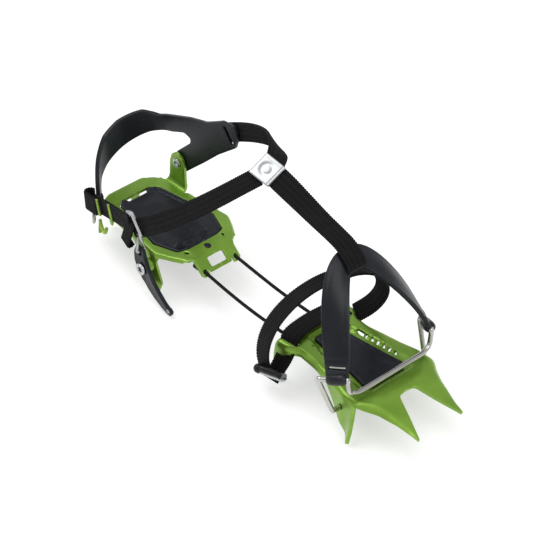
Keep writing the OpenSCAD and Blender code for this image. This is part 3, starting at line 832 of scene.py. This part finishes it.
def toe_strap_webbing():
    route = [(-8.6, 0, 71.6, 0.8, 0, -0.5), (-5.4, 0, 72.8, 1, 0, -0.1), (-4.4, 0, 75.6, 0.95, 0, 0.4),
             (-7, 0, 79.6, 0.66, 0, 0.75), (-12, 0, 84, 0.62, 0, 0.78), (-18, 0, 87.4, 0.4, 0, 0.9),
             (-27, 0, 90, 0.3, 0, 0.95), (-42, 0, 93.4, 0.3, -0.05, 0.95),
             (-61, 0, 98.5, 0.28, -0.2, 0.92), (-76, -0.6, 103.4, 0.26, -0.38, 0.88),
             (-86, -1.2, 106.6, 0.26, -0.4, 0.87)]
    rows = even(smooth(route, 12), 0.475)
    cuts = (0, int(len(rows) * 0.45), int(len(rows) * 0.86), len(rows) - 1)
    bodies = (("toe_bail", "front"), ("front", "heel"), ("heel", "slider"))
    length = arc_lengths(rows[:, :3])
    for k, (a, b) in enumerate(bodies):
        part = rows[cuts[k]:cuts[k + 1] + 1]
        made = ribbed(part, "toe_strap_%d" % (k + 1), WEB_W + 2, length[cuts[k]])
        if k == 0:
            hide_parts("toe_strap")
        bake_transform(made)


def ribbed(rows, name, width, start, slot="webbing", bow=0.0):
    """Webbing along rows that are already smooth and even."""
    pts, side, up = frames(rows)
    s = arc_lengths(pts)
    rib, half, edge = 1.9, width / 2, WEB_T / 2
    frayed = 0.22 * np.sin(TAU * (s + start) / rib)
    across = np.array([-1, -0.97, -0.9, -0.55, 0, 0.55, 0.9, 0.97, 1])
    body = np.abs(across) < 0.95
    thick = np.where(body, 1.0, np.where(np.abs(across) < 0.99, 0.72, 0.3)) * edge
    loops = []
    for i in range(len(pts)):
        wave = math.sin(TAU * (s[i] + start) / rib)
        ribs = np.where(body, 0.2 * wave, 0.1 * wave)
        sag = bow * across ** 2
        reach = across * (half + frayed[i])
        upper = [pts[i] + side[i] * u + up[i] * v for u, v in zip(reach, thick + ribs - sag)]
        lower = [pts[i] + side[i] * u + up[i] * v for u, v in zip(reach, ribs - thick - sag)]
        loops.append(upper[::-1] + lower)
    girth = np.linspace(0, 2 * width + 2 * WEB_T, len(loops[0]) + 1)
    shape = Shape()
    rings(shape, loops, girth, s + start)
    return shape.make(name, slot)


def strap_pieces(name, route, cuts, bodies, replaces, width=WEB_W):
    """One strap in pieces that share their cross-sections; a piece given one body is attached to it, a piece
    given two is left in place.
    """
    rows = even(smooth(route, 12), 0.475)
    marks = [int(round(c * (len(rows) - 1))) for c in cuts]
    length = arc_lengths(rows[:, :3])
    for k, pair in enumerate(bodies):
        part = rows[marks[k]:marks[k + 1] + 1]
        made = ribbed(part, "%s_%d" % (name, k + 1), width, length[marks[k]])
        if k == 0 and replaces:
            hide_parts(replaces)
        if isinstance(pair, str):
            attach(made, pair)
        else:
            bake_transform(made)
    return rows


# The strap over the front plate, from the instep buckle to the far side
CROSSING = [
    (-39, -46.8, -22.4, -0.1, -0.5, 0.85), (-39.3, -43.2, -19.8, -0.1, -0.6, 0.75),
    (-39.6, -38.5, -15.5, -0.1, -0.7, 0.7), (-40, -33, -9.5, 0, -0.75, 0.65),
    (-40.5, -29, -3.6, 0, -0.85, 0.5), (-42.2, -25.6, 1.4, 0, -0.4, 0.95), (-44, -20, 3.1, 0, -0.1, 1),
    (-45, -10, 3.6, 0, 0, 1), (-45.4, 0, 3.8, 0, 0, 1), (-45, 10, 3.6, 0, 0, 1), (-44, 20, 3.1, 0, 0.1, 1),
    (-42.2, 25.6, 1.4, 0, 0.4, 0.95), (-41, 29, -3.6, 0, 0.85, 0.5),
]
# The loop over the instep: from the buckle up to its crown, and down the far side
HOOP_CROWN, HOOP_CROWN_OUT = (-22, -2, 58), (-0.1, 0, 1)
HOOP = np.concatenate([
    along_curve((-44.5, -45.5, -19.5), (-62, -48, 10), (-30, -24, 59), HOOP_CROWN,
                (-0.15, -0.95, 0.1), HOOP_CROWN_OUT),
    along_curve(HOOP_CROWN, (-14, 24, 66), (-4, 52, 30), (-38, 33, -5.5),
                HOOP_CROWN_OUT, (0.1, 0.8, -0.6))[1:],
])


def instep_straps():
    strap_pieces("instep_strap_webbing", CROSSING, (0, 0.3, 1), (("instep_buckle", "front"), "front"),
                 "instep_strap")
    strap_pieces("instep_hoop_webbing", HOOP, (0, 0.2, 1), (("instep_buckle", "front"), "front"),
                 "instep_hoop")


def turned(point, rotation, origin):
    return np.array(rotation @ Vector(point)) + origin


def ladder_lock(shape, origin, rotation, width, length, bars, rail):
    """Ladder-lock: two side rails and cross bars, each a rounded rod."""
    for x in (-1, 1):
        ends = [turned((x * (width / 2 - rail / 2), 0, z * length / 2), rotation, origin) for z in (-1, 1)]
        tube(shape, np.linspace(*ends, 12), rail / 2, sides=12, rounded_ends=True)
    for z, drop, r in bars:
        ends = [turned((x * (width / 2 - rail / 2), drop, z), rotation, origin) for x in (-1, 1)]
        tube(shape, np.linspace(*ends, 8), r, sides=12, rounded_ends=True)


def instep_buckle_lock():
    turn = (Matrix.Rotation(math.radians(24.5), 3, "Z") @ Matrix.Rotation(math.radians(4.6), 3, "Y")
            @ Matrix.Rotation(math.radians(47), 3, "X"))
    origin = np.array([-40, -45, -17.0])
    shape = Shape()
    ladder_lock(shape, origin, turn, 20, 19, [(-8, 0, 2.4), (0, -0.6, 1.6), (8, 0, 2.4)], 4.4)
    rail = [turned((-8.2, -0.6, z), turn, origin) for z in (-9.6, 9.6)]
    tube(shape, np.linspace(*rail, 12), 3.7, sides=16, rounded_ends=True)

    def place(x, y):
        p = np.array(turn.to_3x3())
        local = np.stack([x, np.full_like(x, -1.1) - 0.02 * x * x, y], axis=-1)
        return local @ p.T + origin

    for z in (-7.2, 7.2):
        sheet_piece(shape, [(-9.6, z - 2.4, 1), (9.6, z - 2.4, 1), (9.6, z + 2.4, 1), (-9.6, z + 2.4, 1)],
                    [], place, 2.2, pitch=2, soft=0.6)
    made = shape.make("instep_buckle_lock", "buckle_plastic")
    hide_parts("instep_buckle")
    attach(made, "instep_buckle")
    bar = Shape()
    ends = [turned((x, -2.7, 6.5), turn, origin) for x in (-8.3, 8.3)]
    tube(bar, np.linspace(*ends, 8), 1.1, sides=14, rounded_ends=True)
    for y, z in ((-2.6, -8.6), (-2.9, -4.6), (-3.2, -0.6), (-3, 3.4)):
        ends = [turned((x, y, z), turn, origin) for x in (-3.2, 9.8)]
        tube(bar, np.linspace(*ends, 8), 1.3, sides=14, rounded_ends=True)
    lower = bar.make("instep_buckle_bar", "slider_metal")
    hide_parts("buckle_bar")
    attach(lower, "instep_buckle")


def ferrules():
    for node_name, x0, x1, z, r, body in (("cord_ferrules_front", -47.2, -41, -11.5, 2.6, "front"),
                                          ("cord_ferrules_heel", -159, -153.2, -9, 2.2, "heel")):
        shape = Shape()
        for side in (-1, 1):
            grooves = [(r * 0.55, 0), (r * 0.9, 0.3), (r, 0.9), (r, 2), (r * 0.86, 2.4), (r * 0.86, 3),
                       (r, 3.4), (r, x1 - x0 - 0.9), (r * 0.9, x1 - x0 - 0.3), (r * 0.5, x1 - x0)]
            lathe(shape, (x0, side * 14.7, z), (1, 0, 0), grooves, 20)
        made = shape.make(node_name + "_turned", "buckle_plastic")
        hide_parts(node_name)
        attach(made, body)


front_frame_sheet()
front_pad_moulded()
stud_rings()
bail_wire()
toe_harness_moulded()
toe_strap_webbing()
instep_straps()
instep_buckle_lock()
ferrules()


# ---------------------------------------------------------------- heel section
def heel_frame_sheet():
    fold_at = softened([(-262, 11.5), (-260, 14), (-252, 24.5), (-243, 28), (-226, 29.4), (-209, 30.6),
                        (-180, 34), (-169, 28.6), (-158, 22), (-150, 22)], 1.6)
    ear_left, ear_right = -245.5, -225

    def place(x, y):
        ear = (y > 0) & (x > ear_left - 4) & (x < ear_right + 4)
        start = np.where(ear, 28.4, fold_at(x))
        radius = np.where(ear, 3.2, 3.0)
        reach, drop = fold(np.abs(y) - start, radius, np.where(ear, math.pi / 2, math.radians(84)))
        side = np.where(y < 0, -1.0, 1.0)
        out_y = np.where(np.abs(y) > start, start + reach, np.abs(y)) * side
        height = np.where(ear, drop, -drop)
        back, back_drop = fold(-257.5 - x, 2.6, math.radians(86))
        out_x = np.where(x < -257.5, -257.5 - back, x)
        reach_x, tongue_drop = fold(x + 157, 3.0, math.radians(40))
        out_x = np.where(x > -157, -157 + reach_x, out_x)
        ribs = 0.5 * rise((x + 172) / 5) * rise((-158 - x) / 5) * rise((19 - np.abs(y)) / 4)
        return np.stack([out_x, out_y, height - back_drop - tongue_drop + ribs], axis=-1)

    edge = lambda x, s: (x, float(fold_at(x)) + s)
    spike = [(*edge(-208, 4.6), 4), (*edge(-203, 8), 5), (*edge(-190, 16), 6), (*edge(-181, 27), 5),
             (*edge(-174.5, 36.8), 1), (*edge(-172, 27), 4), (*edge(-177.6, 9), 4), (*edge(-175.5, 4.6), 2),
             (*edge(-166, 4.6), 4), (*edge(-159, 4.4), 3), (-156.6, 20.5, 2.5), (-154.5, 18.4, 2)]
    tongue = [(-141.6, 18.3, 3), (-139.6, 16.4, 2), (-139.6, 12, 0.8), (-144, 11.6, 0.8),
              (-144, 10.4, 0.8), (-141.3, 9.8, 0.8), (-141.3, 0)]
    rear = [(-262.6, 0), (-262.6, 4, 2), (-268, 5, 3), (-280, 8, 4), (-293.6, 12.5, 1), (-270, 18, 4),
            (-263, 19.4, 2), (*edge(-258.5, 3.6), 2), (*edge(-252, 4.6), 3)]
    ear = [(-247, 28.4, 1.5), (-245.2, 29.2, 2), (-243.2, 36, 5), (-242.6, 50, 4), (-240.2, 58, 6),
           (-234, 62, 6), (-228, 58, 6), (-225.6, 50, 4), (-225.2, 36, 5), (-223.4, 29.2, 2),
           (-221.5, 28.8, 1.5)]
    ear = [(x, 28.4 + (y - 28.4) * 0.94, r) for x, y, r in ear]
    far = rear + ear + [(*edge(-219, 4.2), 2)] + spike + tongue
    near = rear + [(*edge(-243, 4.6), 5)] + spike + tongue
    outline = far + [(p[0], -p[1], *p[2:]) for p in reversed(near)]
    opening = both([(-246, 0), (-246, 13.5, 3), (-242, 18.5, 4), (-189, 29, 4), (-170, 22, 4), (-167, 14, 4),
                    (-167, 0)])
    window = both([(-152.4, 0), (-152.4, 7.5, 1.6), (-144.6, 7.5, 1.6), (-144.6, 0)])
    holes = [opening, window, circle(-161.5, 0, 1.9, squash=1.5),
             circle(EAR_PIVOT[0], 28.4 + 3.2 * math.pi / 2 + EAR_PIVOT[2] - 3.2, 2.3)]
    for side in (-1, 1):
        holes.append(circle(-143.1, side * 14.7, 1.75, squash=1.3))
        holes.append([(-166.5, side * 17.5, 0.6), (-163, side * 16, 0.6), (-162.4, side * 17.4, 0.6),
                      (-165.8, side * 19, 0.6)])
    shape = Shape()
    sheet_piece(shape, outline, holes, place, SHEET, pitch=1.7, soft=0.5)
    lathe(shape, (LEVER_PIVOT[0], -33.5, LEVER_PIVOT[2]), (0, -1, 0),
          [(2, 0), (5.2, 0.2), (5.4, 0.8), (5.4, 6.8), (4.9, 7.4), (2.2, 7.6)])
    made = shape.make("heel_frame_formed", "anodised")
    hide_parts("heel_frame")
    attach(made, "heel")


def heel_pad_moulded():
    def relief(x, y, d):
        rim = 0.6 * rise(1 - np.abs(d - 1.8) / 1.6)
        line = 15.2 + (x + 240) * 0.21
        along = rise((x + 241) / 3) * rise((-196 - x) / 3)
        groove = -2.3 * rise(1 - np.abs(y - line) / 1.7) * along
        ridge = 1.5 * rise(1 - np.abs(y - line - 3) / 1.8) * along
        lip_x = -173 - 0.02 * (y + 4) ** 2 + 1.6 * np.cos((y + 4) * TAU / 17)
        lip = 3.2 * rise(1 - np.abs(x - lip_x) / 1.9) * rise((17 - np.abs(y + 4)) / 5)
        hollow = -1.0 * rise(1 - np.abs(x - lip_x - 4.2) / 3.0) * rise((17 - np.abs(y + 4)) / 5)
        crown = 0.7 * rise((d - 6) / 10)
        dimples = sum(-0.9 * rise(1 - np.hypot(x - a, y - b) / 1.6) for a, b in ((-181, -21), (-184, 2)))
        return rim + groove + ridge + lip + hollow + crown + dimples

    outline = both([(-241.3, 0), (-241.3, 9.8, 0.8), (-245.6, 10.2, 0.8), (-245.6, 13, 2), (-241.6, 18, 4),
                    (-189, 28.5, 4), (-170.4, 21.6, 4), (-167.4, 13.8, 4), (-167.4, 0)])
    shape = Shape()
    sheet_piece(shape, outline, [], flat(0.2), 7, pitch=1.5, soft=0.7, relief=relief)
    flange = [(-238, -21.5, 4), (-208, -28.2, 6), (-189, -30.6, 4), (-166, -24, 4), (-159, -9, 2),
              (-159, 9, 2), (-166, 24, 4), (-189, 30.6, 4), (-208, 28.2, 6), (-238, 21.5, 4)]
    sheet_piece(shape, flange, [], flat(-3.3), 4, pitch=3, soft=0.8)
    made = shape.make("heel_pad_moulded", "pad")
    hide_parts("heel_pad")
    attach(made, "heel")


def rivets():
    pad = Shape()
    lathe(pad, (-161.5, 0, -4.3), (0, 0, 1), [(1.2, 0), (1.8, 0.3), (1.8, 4.1), (2.9, 4.2), (2.9, 4.6),
                                              (2.3, 5), (1.0, 5.0), (0.9, 4.4), (0.1, 4.3)])
    made = pad.make("pad_rivet_head", "buckle_plastic")
    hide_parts("pad_rivet")
    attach(made, "heel")
    low, high = node_box("ear_rivet")
    at = (EAR_PIVOT[0], low[1], EAR_PIVOT[2])
    span = high[1] - low[1]
    ear = Shape()
    lathe(ear, at, (0, 1, 0), [(0.1, 0.7), (1.3, 0.75), (1.5, 0.25), (2.4, 0), (3.5, 0.15), (4, 0.7),
                               (4, 1.1), (2.25, 1.2), (2.25, span - 1.2), (4.2, span - 1.1),
                               (4.2, span - 0.6),
                               (3.4, span - 0.1), (1.6, span), (0.1, span - 0.3)])
    made = ear.make("ear_rivet_head", "slider_metal")
    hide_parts("ear_rivet")
    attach(made, "heel")
    low, high = node_box("lever_rivet")
    span = high[1] - low[1]
    lever = Shape()
    lathe(lever, (LEVER_PIVOT[0], high[1], LEVER_PIVOT[2]), (0, -1, 0),
          [(0.1, 0), (2, 0.1), (2, span - 1.5), (4.6, span - 1.4), (4.9, span - 0.8), (4.6, span + 0.3),
           (3.9, span + 0.6), (2.5, span + 0.5), (2.1, span - 0.2), (2.0, span - 1.0), (0.1, span - 1.1)])
    # Painted shade: a dark plastic disk fills the rivet's bore, standing in for the shade inside its hollow.
    shade_disk = Shape()
    lathe(shade_disk, (LEVER_PIVOT[0], low[1] + 1.0, LEVER_PIVOT[2]), (0, -1, 0),
          [(0.1, 0), (1.9, 0.05), (1.9, 0.9), (1.5, 1.2), (0.8, 0.9), (0.1, 0.7)])
    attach(shade_disk.make("lever_rivet_shade_disk", "buckle_plastic"), "heel")
    made = lever.make("lever_rivet_washer", "slider_metal")
    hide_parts("lever_rivet")
    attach(made, "heel")


def heel_harness_moulded():
    plan = [(-164, 36.4, 0), (-190, 36.4, 0), (-215, 36.4, 0), (-243, 36.4, 0), (-253, 35.6, 0),
            (-264, 31, 0), (-272, 22, 0), (-276.4, 10, 0), (-276.6, -4, 0), (-272.6, -15, 0),
            (-267.4, -22, 0), (-263, -26.6, 0)]
    curve = even(smooth(plan, 14), 0.8)
    s = arc_lengths(curve)
    key = [float(s[np.argmin(np.linalg.norm(curve - np.array(p), axis=1))]) for p in plan]
    tangent_in, tangent_out = unit(curve[1] - curve[0]), unit(curve[-1] - curve[-2])

    def place(x, y):
        at = np.clip(x, 0, s[-1])
        p = np.stack([np.interp(at, s, curve[:, 0]), np.interp(at, s, curve[:, 1]), y], axis=-1)
        over = x - at
        p = p + np.where(over[:, None] < 0, over[:, None] * tangent_in, over[:, None] * tangent_out)
        q = np.stack([np.interp(at + 0.4, s, curve[:, 0]) - np.interp(at - 0.4, s, curve[:, 0]),
                      np.interp(at + 0.4, s, curve[:, 1]) - np.interp(at - 0.4, s, curve[:, 1])], axis=-1)
        q = unit(q)
        lean = 0.10 * rise((x - key[4]) / 40) * (y - 35)
        p[:, 0] += (q[:, 1]) * (1.5 + lean)
        p[:, 1] += (-q[:, 0]) * (1.5 + lean)
        return p

    def relief(x, y, d):
        rim = 0.6 * rise(1 - np.abs(d - 1.4) / 1.4)
        u, v = x - 20, y - 70
        a = math.radians(45)
        across, along = u * math.cos(a) + v * math.sin(a), v * math.cos(a) - u * math.sin(a)
        pocket = rise((8.5 - np.abs(across)) / 1.2) * rise((8.5 - np.abs(along)) / 1.2)
        return rim * (1 - pocket) - 1.2 * pocket

    cheek = lambda x: -164 - x
    top = [(cheek(-173), 84.5, 2), (cheek(-186), 82.5, 5), (cheek(-205), 71.5, 10),
           (cheek(-224), 65.5, 10), (key[3], 57.5, 12), (key[4] + 4, 51.5, 6), (key[5], 51.8, 5),
           (key[5] + 6, 52.5, 5), (key[6], 50.5, 8), (key[7], 46, 10), (key[8], 38.5, 10), (key[9], 25.5, 8),
           (key[10], 12.5, 6), (key[11] - 0.4, 0, 1.5)]
    low = [(key[11] - 0.6, -7, 1), (key[11] - 7.5, -6, 1), (key[10] - 3, 2, 5), (key[9], 8.5, 8),
           (key[8], 15, 10), (key[7], 22, 10), (key[6], 28, 10), (key[5], 34, 10), (key[4], 39, 10),
           (key[3], 42.5, 10),
           (cheek(-229), 49, 6), (cheek(-221.5), 47.5, 3), (cheek(-222.5), 43, 4), (cheek(-237.5), 28, 5),
           (cheek(-242.5), 20, 5), (cheek(-240), 13, 4), (cheek(-234), 10.8, 5), (cheek(-227), 14, 4),
           (cheek(-206), 34, 14), (cheek(-190), 50, 14), (cheek(-171), 66, 2.5), (cheek(-169.3), 72, 3),
           (cheek(-170), 81, 3)]
    slot = ((-184.6, 79.0), (-181.2, 80.2), (-172.4, 69.6), (-175.4, 66.6))
    windows = [[(cheek(x), z, 0.8) for x, z in slot]]
    hole = [circle(cheek(EAR_PIVOT[0]), EAR_PIVOT[2], 2.3)]
    shape = Shape()
    sheet_piece(shape, low + top, windows + hole, place, 3, pitch=1.9, soft=0.7, relief=relief)
    made = shape.make("heel_harness_moulded", "harness")
    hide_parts("heel_harness")
    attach(made, "heel_harness")
    keeper = Shape()
    low_end, high_end = node_box("harness_keeper")
    y = (low_end[1] + high_end[1]) / 2
    ends = np.array([(-187.5, y + 0.3, 75.5), (-177, y + 0.3, 63.5)])
    tube(keeper, np.linspace(*ends, 12), 0.9, sides=12, rounded_ends=True)
    made = keeper.make("keeper_bar", "slider_metal")
    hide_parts("harness_keeper")
    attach(made, "heel_harness")


# Webbing band that runs forward along the near side from the tail loop
BAND = along_curve((-256, -29.6, 0), (-240, -33, 6), (-217, -38, 14), (-197, -43.6, 21.5),
                   (-0.2, -1, 0), (-0.3, -0.95, -0.1))


def tail_pieces():
    rows = strap_pieces("tail_webbing_band", BAND, (0, 0.38, 0.72, 1),
                        ("heel_harness", ("heel_harness", "heel"), ("heel", "heel_lever")), "tail_webbing")
    loop = racetrack((-258.5, -29.5, 0), (-1, 0.05, -0.1), (-0.1, -1, 0), 17, 7.5)
    strap_pieces("tail_webbing_loop", loop, (0, 1), ("heel_harness",), None, width=16)
    ring = Shape()
    low, high = node_box("tail_ring")
    mid = (low + high) / 2
    out = unit([-1, -1, 0])
    across = unit([1, -1, 0])
    path = np.array([mid + across * 3.6 * math.cos(a) + np.array([0, 0, 4.6]) * math.sin(a) + out * 0.2
                     for a in np.linspace(0, TAU, 37)[:-1]])
    closed_ring(ring, path, 1.1)
    made = ring.make("tail_ring_wire", "steel_wire")
    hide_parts("tail_ring")
    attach(made, "heel_harness")
    stitches(rows)


def closed_ring(shape, path, radius, sides=12):
    tan = unit(np.roll(path, -1, 0) - np.roll(path, 1, 0))
    normal = unit(np.cross(path[0] - path.mean(0), path[9] - path.mean(0)))
    verts, n = [], len(path)
    for i in range(n):
        out = unit(np.cross(tan[i], normal))
        verts += [path[i] + (out * math.cos(a) + normal * math.sin(a)) * radius
                  for a in np.arange(sides) * TAU / sides]
    faces = [(i * sides + k, i * sides + (k + 1) % sides, ((i + 1) % n) * sides + (k + 1) % sides,
              ((i + 1) % n) * sides + k) for i in range(n) for k in range(sides)]
    shape.add(verts, faces, [[(verts[v][0], verts[v][2]) for v in f] for f in faces])


def zigzag(shape, rows, at, width, reach, turns):
    """Bar tack: one thread that crosses a narrow bar from side to side."""
    pts, side, up = frames(rows)
    s = arc_lengths(pts)
    i = int(np.argmin(np.abs(s - at)))
    tan = unit(pts[i + 1] - pts[i - 1])
    steps = np.linspace(-1, 1, turns * 2 + 1)
    lift = WEB_T / 2 + 0.6 + (1.7 if at < 12 else 0)
    path = [pts[i] + side[i] * width / 2 * t + tan * reach / 2 * (-1) ** k + up[i] * lift
            for k, t in enumerate(steps)]
    tube(shape, smooth(path, 3), 0.5, sides=8)


def stitches(rows):
    shape = Shape()
    for at in (10, 28):
        zigzag(shape, rows, at, 13, 3.4, 11)
        zigzag(shape, rows, at + 0.6, 13, 3.0, 12)
    made = shape.make("bar_tack_threads", "cord_lime")
    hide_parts("bar_tacks")
    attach(made, "heel_harness")


# Middle of the lever's blade from its head to its tip, of which only x and z are used
LEVER_CURVE = ((-186, 0, 6), (-191, 0, -10), (-176, 0, -26), (-147, 0, -31.5))
LEVER_WIDTHS = (8, 4.5)
LEVER_BULGE = 7.5


def lever_pieces():
    def place(x, y):
        lean = np.interp(x, [-200, -180, -172, -152], [-44.5, -44.5, -45.6, -48])
        return np.stack([x, lean, y], axis=-1)

    px, pz = LEVER_PIVOT[0], LEVER_PIVOT[2]
    eye = (-186.0, 3.0)
    tip_eye = (-150.2, -30.0)
    f = np.linspace(0, 1, 9)
    middle = bezier(*LEVER_CURVE, f)
    ahead = unit(bezier(*LEVER_CURVE, f + 0.02) - middle)
    head_w, tip_w = LEVER_WIDTHS
    half = ((head_w + (tip_w - head_w) * f + LEVER_BULGE * np.sin(math.pi * f ** 0.8)) / 2)[:, None]
    across = np.stack([-ahead[:, 2], ahead[:, 1], ahead[:, 0]], axis=1)
    edges = [middle - across * half, (middle + across * half)[::-1]]
    outline = [(x, z, 2) for edge in edges for x, _, z in edge]
    holes = [circle(px, pz, 2.1), [(eye[0] - 2, eye[1] - 3.4, 1), (eye[0] + 2, eye[1] - 3.4, 1),
                                   (eye[0] + 2.2, eye[1] + 1.6, 1), (eye[0] - 2, eye[1] + 1.2, 1)],
             circle(*tip_eye, 1.2)]

    def relief(x, y, d):
        return 0.35 * rise(1 - np.abs(d - 1.2) / 1.2)

    shape = Shape()
    sheet_piece(shape, outline, holes, place, 3, pitch=1.5, soft=0.6, relief=relief)
    made = shape.make("heel_lever_moulded", "harness")
    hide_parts("heel_lever")
    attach(made, "heel_lever")
    ring = Shape()
    washer(ring, (tip_eye[0], -48.2, tip_eye[1]), (0, 1, 0), 0.7, 1.7, 3.6)
    made = ring.make("lever_eyelet_ring", "slider_metal")
    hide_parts("lever_eyelet")
    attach(made, "heel_lever")
    turn = Matrix.Rotation(math.radians(-35.6), 3, "Y") @ Matrix.Rotation(math.radians(-20), 3, "Z")
    origin = np.array([-194.6, -42, 22.6])
    lock = Shape()
    ladder_lock(lock, origin, turn, 20, 20, [(-8.6, 0, 1.4), (0.4, 0.9, 1.2), (8.6, 0, 1.5)], 2.6)
    pin_in, pin_out = (eye[0], -39.6, eye[1]), (eye[0], -46.8, eye[1])
    tube(lock, np.linspace(pin_in, pin_out, 8), 1.1, sides=12, rounded_ends=True)
    foot = turned((-3, 0, -9), turn, origin), turned((3, 0, -9), turn, origin)
    for pin, end in ((pin_in, foot[1]), (pin_out, foot[0])):
        tube(lock, np.linspace(pin, end, 6), 1.1, sides=12, rounded_ends=True)
    made = lock.make("ankle_buckle_lock", "slider_metal")
    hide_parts("ankle_buckle")
    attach(made, "heel_lever")
    flap = racetrack((-198.6, -42.6, 12.5), (-0.25, -0.1, -1), (-0.2, -1, 0), 22, 4.4)
    rows = even(smooth(flap, 4), 0.475)
    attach(ribbed(rows, "ankle_strap_flap", 11, 0), "heel_lever")


NEAR = along_curve((-95, -8, 105.5), (-111, -24, 90), (-157, -42, 40), (-196.5, -42, 17.5),
                   (0.22, -0.5, 0.84), (-0.4, -0.87, -0.25))
FAR = along_curve((-192, 41, 66), (-174, 42, 78), (-104, 34, 120), (-92, 0, 109),
                  (0.1, 1, 0), (0.26, -0.4, 0.87), late=3)


def ankle_straps():
    strap_pieces("ankle_strap_near_webbing", NEAR[::-1], (0, 0.62, 1),
                 (("heel_lever", "heel"), ("heel", "slider")), "ankle_strap_near")
    strap_pieces("ankle_strap_far_webbing", FAR, (0, 0.55, 1), (("heel_harness", "heel"), ("heel", "slider")),
                 "ankle_strap_far")


def slider_plate():
    turn = Matrix.Rotation(math.radians(25.5), 3, "X") @ Matrix.Rotation(math.radians(15), 3, "Y")
    axes = np.array(turn)

    def place(x, y):
        reach, drop = fold(np.abs(x) - 7.4, 1.9, math.pi)
        out = np.where(np.abs(x) > 7.4, 7.4 + reach, np.abs(x)) * np.where(x < 0, -1.0, 1.0)
        return np.stack([out, y, 2.9 - drop], axis=-1) @ axes.T + SLIDER

    def relief(x, y, d):
        return 0.25 * rise(1 - np.abs(d - 1.2) / 1.0) - 0.3 * rise((6 - np.hypot(x, y)) / 1.5) \
            + 0.25 * rise((3.2 - np.hypot(x, y)) / 0.8)

    reach = 7.4 + 1.9 * math.pi + 3.4
    outline = [(-reach, -6.4, 1.5), (-9, -9.3, 2), (9, -9.3, 2), (reach, -6.4, 1.5),
               (reach, 6.4, 1.5), (9, 9.3, 2), (-9, 9.3, 2), (-reach, 6.4, 1.5)]
    shape = Shape()
    sheet_piece(shape, outline, [], place, 1.2, pitch=1.1, soft=0.35, relief=relief)
    made = shape.make("strap_slider_plate", "slider_metal")
    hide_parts("strap_slider")
    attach(made, "slider")


heel_frame_sheet()
heel_pad_moulded()
rivets()
heel_harness_moulded()
tail_pieces()
lever_pieces()
ankle_straps()
slider_plate()


# ---------------------------------------------------------------- floor and light
# Each sun: name, direction towards it, power, and how wide it is in degrees
SUNS = (("key", (-0.5, -0.2, 1.0), 1.3, 45), ("side", (0.75, -0.1, 0.8), 0.7, 30))


def stage():
    mat, _, shader = new_material("floor")
    shader.inputs["Base Color"].default_value = (0.6, 0.6, 0.6, 1)
    shader.inputs["Roughness"].default_value = 1
    shader.inputs["Specular IOR Level"].default_value = 0
    shader.inputs["Emission Color"].default_value = (1, 1, 1, 1)
    shader.inputs["Emission Strength"].default_value = 0.5
    floor = bpy.data.meshes.new("floor")
    size, z = 8.0, CAD_BOX[0][2] - 0.0005
    corners = [(-size, -size, z), (size, -size, z), (size, size, z), (-size, size, z)]
    floor.from_pydata(corners, [], [(0, 1, 2, 3)])
    floor.materials.append(mat)
    made = bpy.data.objects.new("floor", floor)
    bpy.context.scene.collection.objects.link(made)
    world = bpy.data.worlds.new("world")
    world.use_nodes = True
    world.node_tree.nodes["Background"].inputs["Color"].default_value = (1, 1, 1, 1)
    world.node_tree.nodes["Background"].inputs["Strength"].default_value = 0.66
    bpy.context.scene.world = world
    for name, toward, power, spread in SUNS:
        data = bpy.data.lights.new(name, "SUN")
        data.energy, data.angle = power, math.radians(spread)
        light = bpy.data.objects.new(name, data)
        light.rotation_euler = Vector(toward).to_track_quat("Z", "Y").to_euler()
        bpy.context.scene.collection.objects.link(light)
    bpy.context.scene.view_settings.view_transform = "Standard"


stage()
